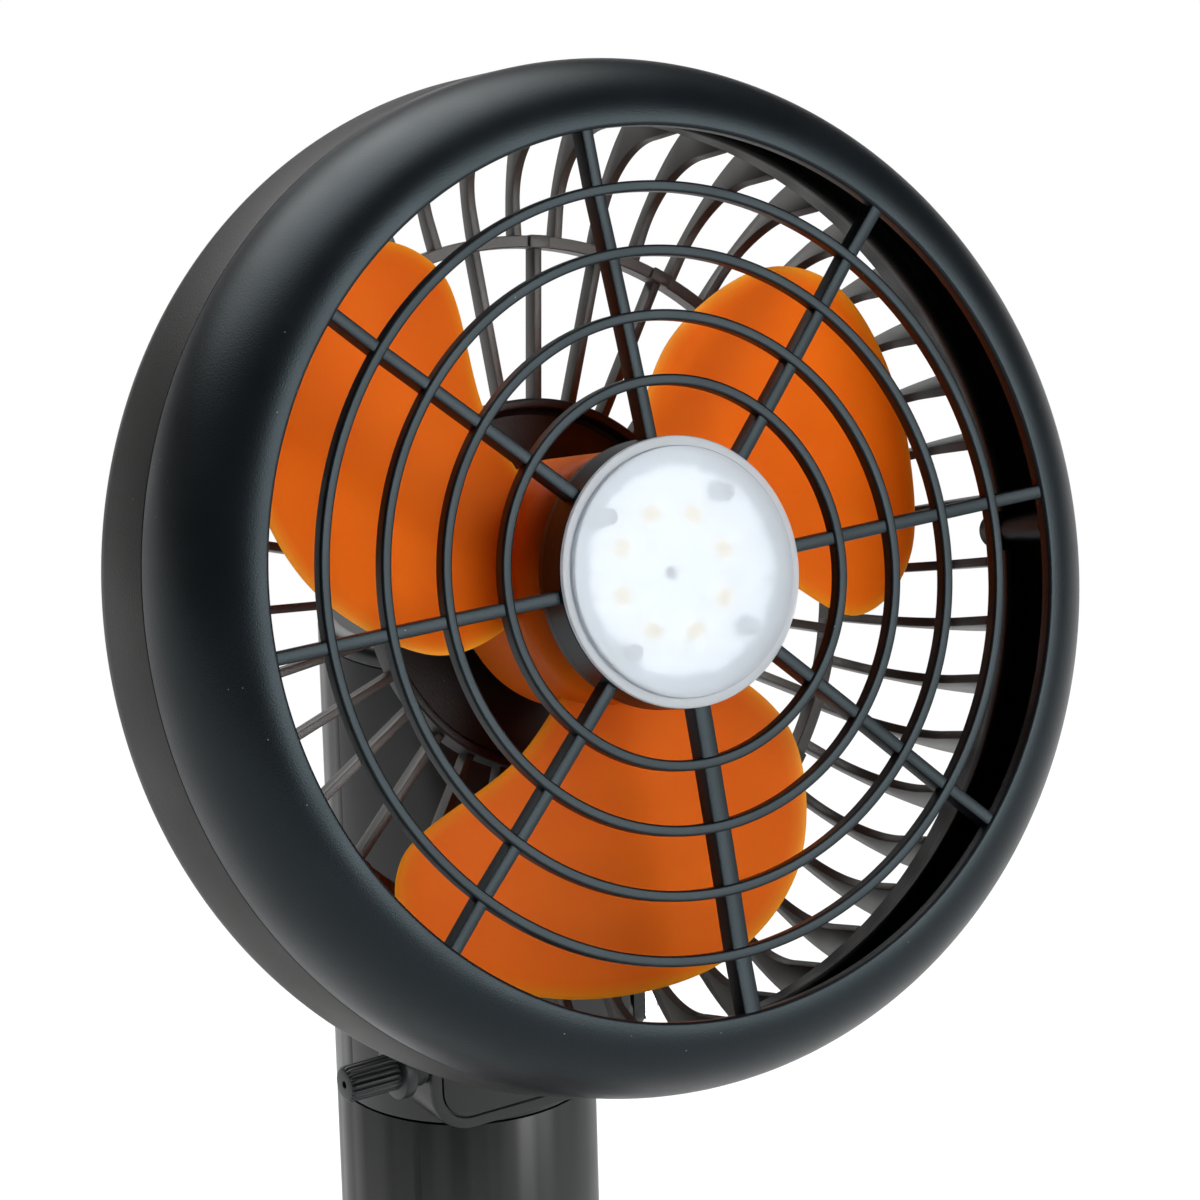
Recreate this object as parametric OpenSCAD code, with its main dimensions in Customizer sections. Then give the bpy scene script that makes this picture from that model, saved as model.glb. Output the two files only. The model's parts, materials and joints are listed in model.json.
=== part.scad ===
// Portable camping fan: a round guarded fan head with a lamp at its centre, tilting on a
// clamped fork in front of a battery column that stands on three folding legs.
// The origin is the centre of the tripod socket's mouth, on the column's axis. +Z is up
// and the fan blows towards -Y.

/* [Column] */
// Outer diameter of the column
column_d = 56; // [52:1:64]
// Wall of the column's tube and shells
column_wall = 2.2; // [1.8:0.1:3]
// Height of the seam between body and neck
body_h = 142; // [138:1:180]
// Height of the neck, from the seam to the top of its cap
neck_h = 108; // [96:1:110]
// Running gap at the seam between body and neck
seam_gap = 0.4; // [0.2:0.1:1]
// Thickness of the plate that closes the body's top
top_plate_t = 3; // [2:0.5:5]
// Thickness of the neck's cap
cap_t = 4.5; // [3:0.5:6]
// Rounding of the cap's rim
cap_round = 3; // [1:0.5:4]

/* [Swivel] */
// Outer radius of the swivel post
post_r = 9; // [7:0.5:11]
// Wall of the swivel post
post_wall = 2; // [1.2:0.2:3]
// Radial running clearance of the neck on the post
post_fit = 0.08; // [0.02:0.01:0.1]
// Thickness of the neck's base disc
neck_base_t = 4; // [3:0.5:6]
// Width of the rim of the post's flange and of its clip
post_rim = 4; // [2:0.5:6]
// Thickness of the post's flange and of its clip
post_rim_t = 1.6; // [1:0.2:3]

/* [Head] */
// Outer radius of the fan head
head_r = 105; // [95:1:115]
// Wall of the head's mouldings
head_wall = 2.2; // [1.8:0.1:3]
// Tilt of the head as it stands, in degrees above level
head_tilt = 20; // [5:1:24]
// Depth of the parting line behind the front rings
parting_d = 28; // [27:0.5:34]
// Depth of the whole head, from the front rings to the rear grille
head_d = 62.4; // [60:0.1:70]
// Width of the bezel's rounded front, from its lip to its rim
bezel_w = 14.7; // [13:0.1:17]
// Depth of the bezel's rounded front
bezel_round_d = 21; // [17:0.5:23]
// Depth of the bezel's lip behind the front rings
lip_d = 3; // [1:0.5:5]
// Width of the rounded corner behind the drum, from its rim to the middle ring
rear_round_w = 34; // [28:1:40]
// Depth of the rounded corner behind the drum
rear_round_d = 18; // [10:1:19]
// Sideways clearance of the joint between the two mouldings
guard_fit = 0.2; // [0.1:0.05:0.4]

/* [Front grille] */
// Radius of the innermost ring
ring_r = 38.5; // [36:0.5:42]
// Distance from the bezel's lip in to the outermost ring
ring_lip_gap = 12.05; // [9:0.05:14]
// Number of rings
ring_count = 4; // [3:1:4]
// Width of a ring
ring_w = 2.2; // [1.6:0.1:3]
// Depth of a ring
ring_t = 2.8; // [2:0.1:4]
// Number of spokes
spoke_count = 8; // [4:1:12]
// Width of a spoke
spoke_w = 2.7; // [2:0.1:4]
// Width of the lowest spoke, which carries the lamp's wires
wire_spoke_w = 4; // [3:0.1:5]
// Depth of a spoke
spoke_t = 4.5; // [3:0.1:6]
// How far the rings stand proud of the spokes
ring_proud = 0.5; // [0.2:0.1:1]
// How far the grille falls back from its centre to the outer ring
grille_dome = 3; // [1:0.5:4]
// Small turn at which the front moulding is screwed on, in degrees
front_turn = -1.3; // [-3:0.1:3]

/* [Lamp] */
// Outer radius of the lamp cup
cup_r = 27.2; // [25:0.1:30]
// Wall of the lamp cup
cup_wall = 1.8; // [1.2:0.1:3]
// Depth of the lamp cup
cup_d = 7; // [6:0.5:9]
// Thickness of the plate that closes the cup from behind
cup_back_t = 1.6; // [1:0.2:3]
// Thickness of the lamp's circuit board
board_t = 1.6; // [1:0.2:2]
// Height of the lens above the cup
lens_h = 2; // [1.5:0.1:4]
// Width of the step round the lens
lens_step = 2; // [1:0.1:3]
// Radius of the circle of the lens posts
lens_post_pcr = 19.3; // [17:0.1:20]
// Number of light chips round the board
chip_count = 8; // [4:1:9]

/* [Rear grille] */
// Outer radius of the hub plate
hub_plate_r = 38.5; // [37:0.5:42]
// Number of inner ribs
inner_ribs = 30; // [20:1:36]
// Number of outer ribs
outer_ribs = 48; // [36:1:54]
// Thickness of a rib
rib_w = 1.8; // [1.4:0.1:2.4]
// Depth of a rib
rib_t = 4; // [3:0.5:5]
// Width of an outer rib where it stands against the drum's wall
fin_w = 9.4; // [6:0.1:11]
// Wall of the duct ring inside the outer ribs
duct_wall = 1.8; // [1.4:0.1:3]
// Depth of the duct ring's rear rim
duct_back_d = 33.6; // [31:0.1:38]
// Depth of the duct ring's front rim
duct_front_d = 25; // [24:0.1:27]
// Depth of the hub plate
hub_plate_t = 2.5; // [2:0.5:3]
// Height of the collar round the motor
collar_h = 6.4; // [5:0.1:9]

/* [Impeller] */
// Number of blades
blade_count = 3; // [2:1:3]
// Blade thickness
blade_t = 2; // [1.6:0.1:3]
// Pitch of the blades, as rise over run
blade_pitch = 0.36; // [0.3:0.01:0.38]
// Camber of the blades, per millimetre across
blade_camber = 0.0012; // [0:0.0001:0.0016]
// Depth of the blades' pitch line behind the front rings
blade_d = 30.4; // [29:0.1:32]
// Outer radius of the impeller hub
hub_r = 25.5; // [24.5:0.5:30]
// Rounding of the hub's nose
hub_round = 6.5; // [3:0.5:8]
// Wall of the impeller hub
hub_wall = 1.8; // [1.4:0.1:2.4]
// Depth of the hub's nose behind the front rings
hub_nose_d = 17; // [14:0.5:18]
// Depth of the hub's open back behind the front rings
hub_back_d = 47; // [44:0.5:48]

/* [Motor] */
// Radius of the motor shaft
shaft_r = 1.5; // [1:0.25:2]
// Running clearance of the shaft in its bearings
shaft_fit = 0.03; // [0.01:0.01:0.08]
// Outer radius of the ball bearings
bearing_r = 3.5; // [3:0.25:4]
// Height of a ball bearing
bearing_h = 3; // [2:0.5:4]
// Wall of the bearing tube
bearing_tube_wall = 1.4; // [1:0.1:2]
// Outer radius of the stator
stator_r = 18; // [16:0.5:19]
// Height of the stator
stator_h = 9; // [7:0.5:11]
// Number of stator teeth
stator_teeth = 9; // [6:3:12]
// Air gap between stator and magnet ring
air_gap = 0.5; // [0.4:0.1:1]
// Thickness of the magnet ring
magnet_t = 1.6; // [1:0.1:2]
// Wall of the rotor cup
rotor_wall = 1; // [0.8:0.1:1.5]

/* [Hinge] */
// Distance of the tilt axis in front of the column's axis
hinge_fwd = 23.5; // [21:0.5:24]
// Height of the tilt axis above the seam
hinge_up = 17; // [15:0.5:22]
// Distance of the head's centre above the tilt axis, along the head's face
hinge_drop = 95.9; // [90:0.1:100]
// Distance of the front rings ahead of the tilt axis, along the head's axis
hinge_back = 107.3; // [105:0.1:112]
// Half width of the hinge boss
boss_half_w = 25; // [23:0.5:26]
// How far the boss's face stands in front of the tilt axis
boss_front = 5; // [4:0.5:6]
// Height of the hinge boss
boss_h = 44; // [38:1:60]
// Height of the boss's foot above the seam
boss_foot = 1.2; // [0.6:0.1:3]
// Corner radius of the boss
boss_corner = 10; // [6:0.5:12]
// Rim left round the panel on the boss
panel_rim = 2.6; // [2:0.1:4]
// Thickness of the panel on the boss
panel_t = 0.8; // [0.6:0.1:1]
// Radius of the hinge bolt
bolt_r = 2; // [1.5:0.25:2]
// Radial clearance of the bolt in its holes
bolt_fit = 0.08; // [0.03:0.01:0.1]
// Thickness of a fork cheek
cheek_t = 2.9; // [2:0.1:4]
// Thickness of a friction washer
washer_t = 0.8; // [0.5:0.1:1.5]
// Radius of the rounded end of a fork cheek
cheek_end_r = 4.5; // [3.5:0.1:5]

/* [Clamp knob] */
// Radius of the fluted barrel
knob_r = 4; // [3:0.1:6]
// Length of the fluted barrel
knob_l = 11.7; // [8:0.1:20]
// Radius of the knob's flange
knob_flange_r = 6.2; // [5:0.1:8]
// Thickness of the knob's flange
knob_flange_t = 2.7; // [2:0.1:4]
// Number of flutes
knob_flutes = 14; // [8:1:20]

/* [Controls] */
// Width of the control panel
panel_w = 26; // [22:1:28]
// Height of the control panel
panel_h = 38; // [34:1:40]
// Height of the panel's centre below the seam
panel_drop = 29; // [27:1:34]
// Depth of the panel's dished face behind the column's surface
panel_dish = 2.4; // [2.2:0.1:3]
// Radius of a button
button_r = 4.1; // [3:0.1:5]
// Clearance round a button
button_fit = 0.2; // [0.15:0.05:0.4]
// How far a button stands proud of the dished face
button_proud = 1.4; // [1:0.1:2]
// Travel of a button
button_travel = 0.8; // [0.5:0.1:1]
// Spacing of the two buttons
button_gap = 15; // [13:0.5:16]

/* [Battery] */
// Radius of a cell
cell_r = 10.6; // [9:0.1:10.6]
// Part of the body's height that base, boards and controls need besides the cells
cell_room = 72; // [70:1:84]
// Clearance round a cell in its cradle
cell_fit = 0.15; // [0.1:0.05:0.3]

/* [Charging port] */
// Width of the port's shell
port_w = 9; // [8:0.1:10]
// Height of the port's shell
port_h = 3.2; // [2.6:0.1:4]
// Depth of the port's shell
port_d = 7.3; // [6:0.1:9]
// Thickness of the rubber flap
flap_t = 1.2; // [0.8:0.1:2]

/* [Base and legs] */
// Thickness of the base hub's disc
hub_t = 7; // [7:0.5:10]
// Height of the base hub's spigot inside the tube
spigot_h = 5; // [4:0.5:6]
// Radius of the tripod socket's thread bore, quarter inch 20
socket_r = 2.6; // [2.5:0.05:2.7]
// Depth of the tripod socket
socket_h = 9; // [7:0.5:10]
// Length of a leg, from pivot to tip
leg_l = 105; // [90:1:130]
// Angle of an open leg from the column, in degrees
leg_open = 58; // [50:1:62]
// Radial thickness of a leg
leg_t = 7; // [5:0.5:8]
// Half of the arc that a leg covers, in degrees
leg_half_arc = 52; // [40:1:55]
// Distance of the leg pivots from the column's axis
pivot_out = 20; // [19:0.5:21]
// Depth of the leg pivots below the hub's underside
pivot_drop = 8; // [7.5:0.5:10]
// Radius of a leg pin
pin_r = 1.5; // [1:0.1:2]
// Radial running clearance on a leg pin
pin_fit = 0.06; // [0.02:0.01:0.1]
// Half width of a leg's knuckle
knuckle_half = 5.9; // [4.5:0.1:7]
// Thickness of a hub lug
lug_t = 4; // [3:0.5:5]
// Height of a rubber foot along the leg
foot_h = 9; // [6:0.5:14]

/* [Hidden] */

$fn = 96;

// Small gaps that appear in many places
gap = 0.2;
seat = 0.1;
eps = 0.01;
big = 400;

// Finishes, as CSS colours
shell_black = "#2b3236";
column_grey = "#4a4f52";
blade_orange = "#ee7618";
dark = "#1b1d1f";
steel = "#b9bcc0";
rubber_black = "#202224";

// Column
column_r = column_d / 2;
bore_r = column_r - column_wall;
seam_z = body_h;
neck_z0 = seam_z + seam_gap;
neck_top_z = seam_z + neck_h;
shell_top_z = neck_top_z - cap_t;
tube_z0 = hub_t;
fit_r = bore_r - seat / 2;

// Hinge and head frame
hinge_y = -hinge_fwd;
hinge_z = seam_z + hinge_up;
boss_y = hinge_y - boss_front;
boss_z0 = seam_z + boss_foot;
boss_wall = 3.2;
cheek_x0 = boss_half_w + washer_t + seat;
cheek_x1 = cheek_x0 + cheek_t;

// Head profile: r is the distance from the head's axis, depths are negative z
lip_r = head_r - bezel_w;
lip_in = 0.9;
lip_in_r = lip_r - lip_in;
lip_h = 2.4;
bezel_base_z = -(lip_d + bezel_round_d);
drum_end_z = -(head_d - rear_round_d);
corner_r = head_r - rear_round_w;
mid_ring_r = corner_r;
wall_in_r = head_r - head_wall;
duct_r = wall_in_r - fin_w;
outer_ring_r = lip_in_r - ring_lip_gap;
ring_step = (outer_ring_r - ring_r) / (ring_count - 1);
tongue_l = 5;
guard_screw_r = 1.5;
guard_boss_r = 3.6;
guard_boss_pcr = head_r - 2 * head_wall - guard_boss_r + 0.5;
guard_screw_count = 3;
guard_screw_turn = 114;
guard_screw_l = 16;
guard_screw_head_r = 2.8;
guard_screw_head_h = 2;
guard_boss_back_z = -(parting_d + 8);

// Lamp
lens_post_h = 3.2;
lamp_board_z = -(lens_post_h + board_t);
lens_post_r = 1.7;
chip_pcr = 12.5;
chip_turn = 10;

// Motor
hub_plate_z = -head_d;
plate_top_z = hub_plate_z + hub_plate_t;
stator_z = plate_top_z + 4.2;
tube_r = bearing_r + bearing_tube_wall;
bearing_tube_h = 18;
magnet_r = stator_r + air_gap;
rotor_r = magnet_r + magnet_t + rotor_wall;
rotor_top_z = stator_z + stator_h + 6;
hub_boss_r = 5;

// Blade outline: radial and sideways places of its control points
blade_outline = [[14, -4], [32, -25], [46, -51], [67, -50], [82, -23], [82, 6], [66, 25],
                 [39, 29], [20, 15]];
blade_base_angle = 270;
blade_steps = 5;

// Controls
panel_z = seam_z - panel_drop;
dish_y = column_r - panel_dish;
panel_back_y = dish_y - 2.6;
control_board_y = panel_back_y - 4.4;
power_z = panel_z + button_gap / 2 + 4;
light_z = power_z - button_gap;
status_z = light_z - 9;
flange_extra = 1.1;
flange_t = 1.4;

// Battery stack
cradle_t = 3;
cell_h = body_h - cell_room;
cell_z = hub_t + spigot_h + 4;
cell_pcr = (cell_r + 0.05) * 2 / sqrt(3);
cradle_grip = 3;
charge_z = cell_z + cell_h + cradle_t + gap;
port_x1 = column_r - column_wall + 0.2;
port_z = charge_z + board_t + port_h / 2 + 0.05;

flap_half_w = 8;
flap_half_h = 5;
flap_out = 0.3;
flap_in = flap_t - flap_out + seat / 2;

// Legs
pivot_z = -pivot_drop;
leg_angles = [-90, 30, 150];
lug_x = knuckle_half + gap;
floor_z = pivot_z - leg_l * cos(leg_open) - 3;
lug_r = 5;
knuckle_r = 4.5;
heel_w = 3.5;
neck_in = 3;
neck_out = 4;
neck_l = 15;

// Depth of the front grille's surface at radius r, level outside the outermost ring
function dome_z(r) = -grille_dome * pow(min(r / outer_ring_r, 1), 2);

// Points of a quarter ellipse from angle a0 to a1
function arc_points(cx, cy, rx, ry, a0, a1, n) =
    [for (i = [0:n]) let (a = a0 + (a1 - a0) * i / n) [cx + rx * cos(a), cy + ry * sin(a)]];

// Closed Catmull-Rom curve through the points of list p, with n steps between them
function spline_point(p, i, t) =
    let (c = len(p), a = p[(i + c - 1) % c], b = p[i], d = p[(i + 1) % c], e = p[(i + 2) % c])
    0.5 * (2 * b + (d - a) * t + (2 * a - 5 * b + 4 * d - e) * t * t
           + (3 * b - a - 3 * d + e) * t * t * t);
function closed_spline(p, n) =
    [for (i = [0:len(p) - 1], k = [0:n - 1]) spline_point(p, i, k / n)];

// Rise of the blade's mean surface at sideways place y
function blade_z(y) = -blade_d + blade_pitch * y + blade_camber * y * y;

module at_hinge()
    translate([0, hinge_y, hinge_z]) rotate([90 - head_tilt, 0, 0]) children();

// Head frame: z along the head's axis towards the front, y up its face
module at_head()
    at_hinge() translate([0, hinge_drop, hinge_back]) children();

module around(n, turn = 0)
    for (i = [0:n - 1]) rotate([0, 0, turn + 360 * i / n]) children();

module ring(r_out, r_in, z0, z1)
    translate([0, 0, z0]) difference() {
        cylinder(r = r_out, h = z1 - z0);
        translate([0, 0, -1]) cylinder(r = r_in, h = z1 - z0 + 2);
    }

module disc(r, z0, z1)
    translate([0, 0, z0]) cylinder(r = r, h = z1 - z0);

// Cylinder along X from x0 to x1 through the tilt axis
module x_rod(r, x0, x1)
    translate([x0, 0, 0]) rotate([0, 90, 0]) cylinder(r = r, h = x1 - x0);

module rounded_rect(w, h, r) {
    square([w - 2 * r, h], center = true);
    square([w, h - 2 * r], center = true);
    for (x = [-1, 1], y = [-1, 1]) translate([x * (w / 2 - r), y * (h / 2 - r)]) circle(r = r);
}

// Screw along +Z with its head on top of the point z = 0
module screw(shank_r, shank_l, head_rad, head_h, slot = 1.2) {
    translate([0, 0, -shank_l]) cylinder(r = shank_r, h = shank_l + eps);
    difference() {
        cylinder(r = head_rad, h = head_h);
        for (a = [0, 90]) rotate([0, 0, a])
            translate([-slot, -0.35, head_h - min(0.9, head_h / 2)]) cube([2 * slot, 0.7, 1]);
    }
}

// ---------------------------------------------------------------- front of the head

module bezel() {
    steps = 9;
    rotate_extrude($fn = 144) polygon(concat(
        [[head_r, -parting_d]],
        arc_points(lip_r, bezel_base_z, bezel_w, bezel_round_d, 0, 90, steps),
        [[lip_in_r, -lip_d - lip_in], [lip_in_r, -lip_d - lip_h]],
        arc_points(lip_r, bezel_base_z, bezel_w - head_wall, bezel_round_d - head_wall, 90, 0,
                   steps),
        [[wall_in_r, -parting_d]]));
}

module front_rings()
    for (i = [0:ring_count - 1]) let (r = ring_r + i * ring_step, h = ring_w / 2)
        rotate_extrude($fn = 144) translate([r, dome_z(r)])
            polygon([[-h, -ring_t], [-h, -0.6], [-h + 0.6, 0], [h - 0.6, 0], [h, -0.6],
                     [h, -ring_t]]);

module front_spoke(w) {
    radii = concat([cup_r - 1], [for (i = [0:ring_count - 1]) ring_r + i * ring_step],
                   [lip_r + 0.3]);
    rotate([90, 0, 0]) translate([0, 0, -w / 2]) linear_extrude(height = w)
        polygon(concat([for (r = radii) [r, dome_z(r) - ring_proud]],
                       [for (i = [len(radii) - 1:-1:0]) [radii[i], dome_z(radii[i]) - spoke_t]]));
}

module front_guard() color(shell_black) at_head() rotate([0, 0, front_turn]) {
    bezel();
    front_rings();
    for (i = [0:spoke_count - 1]) rotate([0, 0, 360 * i / spoke_count])
        front_spoke(i == spoke_count * 3 / 4 ? wire_spoke_w : spoke_w);
    ring(cup_r, cup_r - cup_wall, -cup_d, 0);
    ring(cup_r - cup_wall + eps, cup_r - cup_wall - 2.5, -cup_d, lamp_board_z - seat / 2);
    around(guard_screw_count, guard_screw_turn - front_turn) difference() {
        intersection() {
            translate([guard_boss_pcr, 0, 0]) disc(guard_boss_r, -parting_d, -lip_d);
            bezel_core();
        }
        ring(head_r, head_r - 2 * head_wall - guard_fit, -parting_d - 1,
             -parting_d + tongue_l + gap);
        translate([guard_boss_pcr, 0, 0]) disc(guard_screw_r, -parting_d - 1, -parting_d + 12);
    }
}

// Space inside the bezel's wall, which trims the screw bosses
module bezel_core()
    rotate_extrude($fn = 144) polygon(concat(
        [[lip_r, -parting_d - 1], [head_r - head_wall / 2, -parting_d - 1]],
        arc_points(lip_r, bezel_base_z, bezel_w - head_wall / 2, bezel_round_d - head_wall / 2,
                   0, 90, 9)));

module lamp_back() color(dark) at_head()
    disc(cup_r, -cup_d - seat - cup_back_t, -cup_d - seat);

module led_board() color("white") at_head() difference() {
    disc(cup_r - cup_wall - gap, lamp_board_z, lamp_board_z + board_t);
    disc(1.5, lamp_board_z - 1, lamp_board_z + board_t + 1);
}

module led_chips() color("#f3d46b") at_head()
    around(chip_count, chip_turn) translate([chip_pcr, 0, lamp_board_z + board_t + seat])
        linear_extrude(height = 0.8) square([2.8, 3.5], center = true);

// Frosted lens with a stepped rim and four posts that hold the board down
module led_lens() color("white", 0.7) at_head() {
    difference() {
        union() {
            disc(cup_r, seat, lens_h * 0.45);
            disc(cup_r - lens_step, lens_h * 0.45 - eps, lens_h);
        }
        disc(cup_r - cup_wall - gap, 0, lens_h * 0.45 - 0.3);
    }
    around(4, 45 + front_turn) translate([lens_post_pcr, 0, 0])
        disc(lens_post_r, -lens_post_h + seat, lens_h * 0.45);
}

// ---------------------------------------------------------------- back of the head

// Outline of the wall's rounded corner, moved inwards by t
function corner_arc(t, a0, a1, n) =
    arc_points(corner_r, drum_end_z, rear_round_w - t, rear_round_d - t, a0, a1, n);

slot_start = -9;
tongue_step = 4;
outer_rib_turn = 5.25;
inner_rib_turn = 4.5;
mid_ring_w = 2.4;
rib_pad_w = 4.7;
fin_front_z = -duct_back_d + 1.4;
fin_round_r = 15.5;

module rear_wall()
    rotate_extrude($fn = 144) polygon(concat(
        [[head_r, -parting_d - seat]],
        corner_arc(0, 0, slot_start, 2),
        corner_arc(head_wall, slot_start, 0, 2),
        [[wall_in_r, -parting_d - tongue_step - head_wall],
         [head_r - 2 * head_wall, -parting_d - tongue_step],
         [head_r - 2 * head_wall, -parting_d + tongue_l],
         [head_r - head_wall - guard_fit, -parting_d + tongue_l],
         [head_r - head_wall - guard_fit, -parting_d - seat]]));

// Section of an outer rib: a fin from the middle ring round the corner, which then stands
// between the drum's wall and the duct ring
module outer_rib()
    rotate([90, 0, 0]) translate([0, 0, -rib_w / 2]) linear_extrude(height = rib_w)
        polygon(concat(
            corner_arc(0.3, -90, slot_start - 4, 6),
            [[head_r - head_wall / 2, drum_end_z], [head_r - head_wall / 2, fin_front_z],
             [duct_r + duct_wall / 2, fin_front_z], [duct_r + duct_wall / 2, -duct_back_d - 1]],
            arc_points(duct_r - fin_round_r, -duct_back_d - 9, fin_round_r,
                       head_d - rib_t - duct_back_d - 9, 0, -90, 6),
            [[mid_ring_r, -head_d + rib_t]]));

// Ring round the blades' tips, with the web that closes the space outside it
module duct()
    difference() {
        union() {
            ring(duct_r + duct_wall, duct_r, -duct_back_d, -duct_front_d);
            ring(wall_in_r + head_wall / 2, duct_r + duct_wall / 2, -duct_back_d + 0.3,
                 -duct_back_d + 1.9);
        }
        guard_boss_places() disc(guard_boss_r + gap, -parting_d - seat, 0);
    }

module guard_boss_places()
    around(guard_screw_count, guard_screw_turn) translate([guard_boss_pcr, 0, 0]) children();

module inner_rib()
    translate([hub_plate_r - 1, -rib_w / 2, hub_plate_z])
        cube([mid_ring_r - hub_plate_r + 1, rib_w, rib_t]);

// Small pad on the middle ring, at the end of every second inner rib
module rib_pad()
    translate([mid_ring_r - mid_ring_w / 2 - 0.05, -rib_pad_w / 2, hub_plate_z + 1])
        cube([mid_ring_w + 0.1, rib_pad_w, rib_t]);

module rear_guard() color(shell_black) at_head() difference() {
    union() {
        rear_wall();
        duct();
        around(outer_ribs, outer_rib_turn) outer_rib();
        around(inner_ribs, inner_rib_turn) inner_rib();
        around(inner_ribs / 2, inner_rib_turn) rib_pad();
        ring(mid_ring_r + mid_ring_w / 2, mid_ring_r - mid_ring_w / 2, hub_plate_z,
             hub_plate_z + rib_t + 0.2);
        ring(hub_plate_r, tube_r + gap, hub_plate_z, plate_top_z);
        ring(hub_plate_r, hub_plate_r - 2.5, hub_plate_z, hub_plate_z + collar_h);
        guard_boss_places() {
            disc(guard_boss_r, guard_boss_back_z, -parting_d - seat);
            translate([0, -2, guard_boss_back_z])
                cube([head_r - 1 - guard_boss_pcr, 4, 1 - duct_back_d - guard_boss_back_z]);
        }
        arm_pad();
    }
    guard_boss_places() {
        disc(guard_screw_r + 0.15, -head_d, 0);
        disc(guard_screw_head_r + 0.3, -head_d, guard_boss_back_z + 3);
    }
    arm_screw_places() disc(arm_screw_r + 0.1, -head_d - 1, -head_d + 20);
}

// Thickened patch between the lowest ribs that the tilt arm is screwed to
arm_pad_w = 26;
arm_pad_t = rib_t + 0.6;
arm_pad_r0 = mid_ring_r - 9;
arm_pad_r1 = mid_ring_r + 13;
arm_screw_r = 1.5;
arm_screw_x = 9;
arm_screw_rs = [mid_ring_r - 4.5, mid_ring_r + 7];

module arm_screw_places()
    for (x = [-1, 1], r = arm_screw_rs) translate([x * arm_screw_x, -r, 0]) children();

module arm_pad()
    intersection() {
        translate([-arm_pad_w / 2, -arm_pad_r1, -head_d])
            cube([arm_pad_w, arm_pad_r1 - arm_pad_r0, arm_pad_t + 2]);
        rotate_extrude() polygon(concat([[0, -head_d], [corner_r, -head_d]],
            corner_arc(0.3, -90, slot_start, 6), [[corner_r + 20, -head_d + arm_pad_t],
            [0, -head_d + arm_pad_t]]));
    }

module guard_screws() color(steel) at_head()
    guard_boss_places() translate([0, 0, guard_boss_back_z + 3 - seat]) mirror([0, 0, 1])
        screw(guard_screw_r - 0.05, guard_screw_l, guard_screw_head_r, guard_screw_head_h);

module rear_cap() color(dark) at_head() difference() {
    rotate_extrude() polygon([[0, -head_d - 2.2], [hub_plate_r - 6, -head_d - 2.2],
                              [hub_plate_r - 3, -head_d - seat], [0, -head_d - seat]]);
    around(6) translate([hub_plate_r - 16, 0, -head_d - 4]) linear_extrude(height = 6)
        square([9, 1.6], center = true);
}

// ---------------------------------------------------------------- motor

module bearing_tube() color("#b58a3c") at_head()
    ring(tube_r, bearing_r + 0.03, hub_plate_z + seat, hub_plate_z + bearing_tube_h);

module motor_bearings() color(steel) at_head()
    for (z = [hub_plate_z + 1.5, hub_plate_z + bearing_tube_h - bearing_h - 0.5])
        ring(bearing_r, shaft_r + shaft_fit, z, z + bearing_h);

module motor_stator() color("#8c8f94") at_head() difference() {
    ring(stator_r, tube_r + 0.05, stator_z, stator_z + stator_h);
    around(stator_teeth) translate([tube_r + 3.5, 0, stator_z - 1]) linear_extrude(height = stator_h + 2)
        polygon([[0, -0.8], [stator_r - tube_r - 6, -2.6], [stator_r - tube_r - 6, -0.6],
                 [stator_r, -0.6], [stator_r, 0.6], [stator_r - tube_r - 6, 0.6],
                 [stator_r - tube_r - 6, 2.6], [0, 0.8]]);
}

module motor_driver_board() color("#1f5a34") at_head()
    ring(stator_r - 1, tube_r + 0.3, plate_top_z + 0.9, plate_top_z + 0.9 + board_t);

module rotor_cup() color(steel) at_head() difference() {
    disc(rotor_r, stator_z - 1, rotor_top_z);
    disc(rotor_r - rotor_wall, stator_z - 2, rotor_top_z - rotor_wall);
    disc(shaft_r + 0.02, stator_z, rotor_top_z + 1);
}

module rotor_magnet() color("#3a3a3d") at_head()
    ring(rotor_r - rotor_wall - 0.02, magnet_r, stator_z - 0.5, stator_z + stator_h + 0.5);

module motor_shaft() color(steel) at_head() difference() {
    disc(shaft_r, hub_plate_z + 0.3, -hub_nose_d - 4);
    ring(shaft_r + 1, shaft_r - 0.4, hub_plate_z + 0.7, hub_plate_z + 1.2);
}

// Clip in the groove at the shaft's rear end
module shaft_clip() color(steel) at_head()
    ring(shaft_r + 1, shaft_r - 0.38, hub_plate_z + 0.72, hub_plate_z + 1.18);

module blade() {
    half_span = 60;
    strip = [for (y = [-half_span:6:half_span]) y];
    intersection() {
        translate([0, 0, -head_d]) linear_extrude(height = head_d)
            polygon(closed_spline(blade_outline, blade_steps));
        rotate([90, 0, 90]) linear_extrude(height = head_r)
            polygon(concat([for (y = strip) [y, blade_z(y) + blade_t / 2]],
                           [for (i = [len(strip) - 1:-1:0]) [strip[i], blade_z(strip[i]) - blade_t / 2]]));
    }
}

module hub_outside(t, z_back)
    rotate_extrude($fn = 96) polygon(concat(
        [[0, z_back], [hub_r - t, z_back]],
        arc_points(hub_r - hub_round, -hub_nose_d - hub_round, hub_round - t, hub_round - t,
                   0, 90, 5),
        [[0, -hub_nose_d - t]]));

module impeller() color(blade_orange) at_head() difference() {
    union() {
        difference() {
            union() {
                hub_outside(0, -hub_back_d);
                around(blade_count, blade_base_angle) blade();
            }
            hub_outside(hub_wall, -hub_back_d - 5);
        }
        difference() {
            disc(hub_boss_r, rotor_top_z + seat, -hub_nose_d - hub_wall / 2);
            disc(shaft_r + 0.02, -head_d, -hub_nose_d - 4 + seat);
        }
    }
}

// ---------------------------------------------------------------- tilt arm and clamp

yoke_t = 6;
yoke_z1 = hinge_back - head_d - seat;
yoke_y0 = 17;
yoke_y1 = 30;
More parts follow.
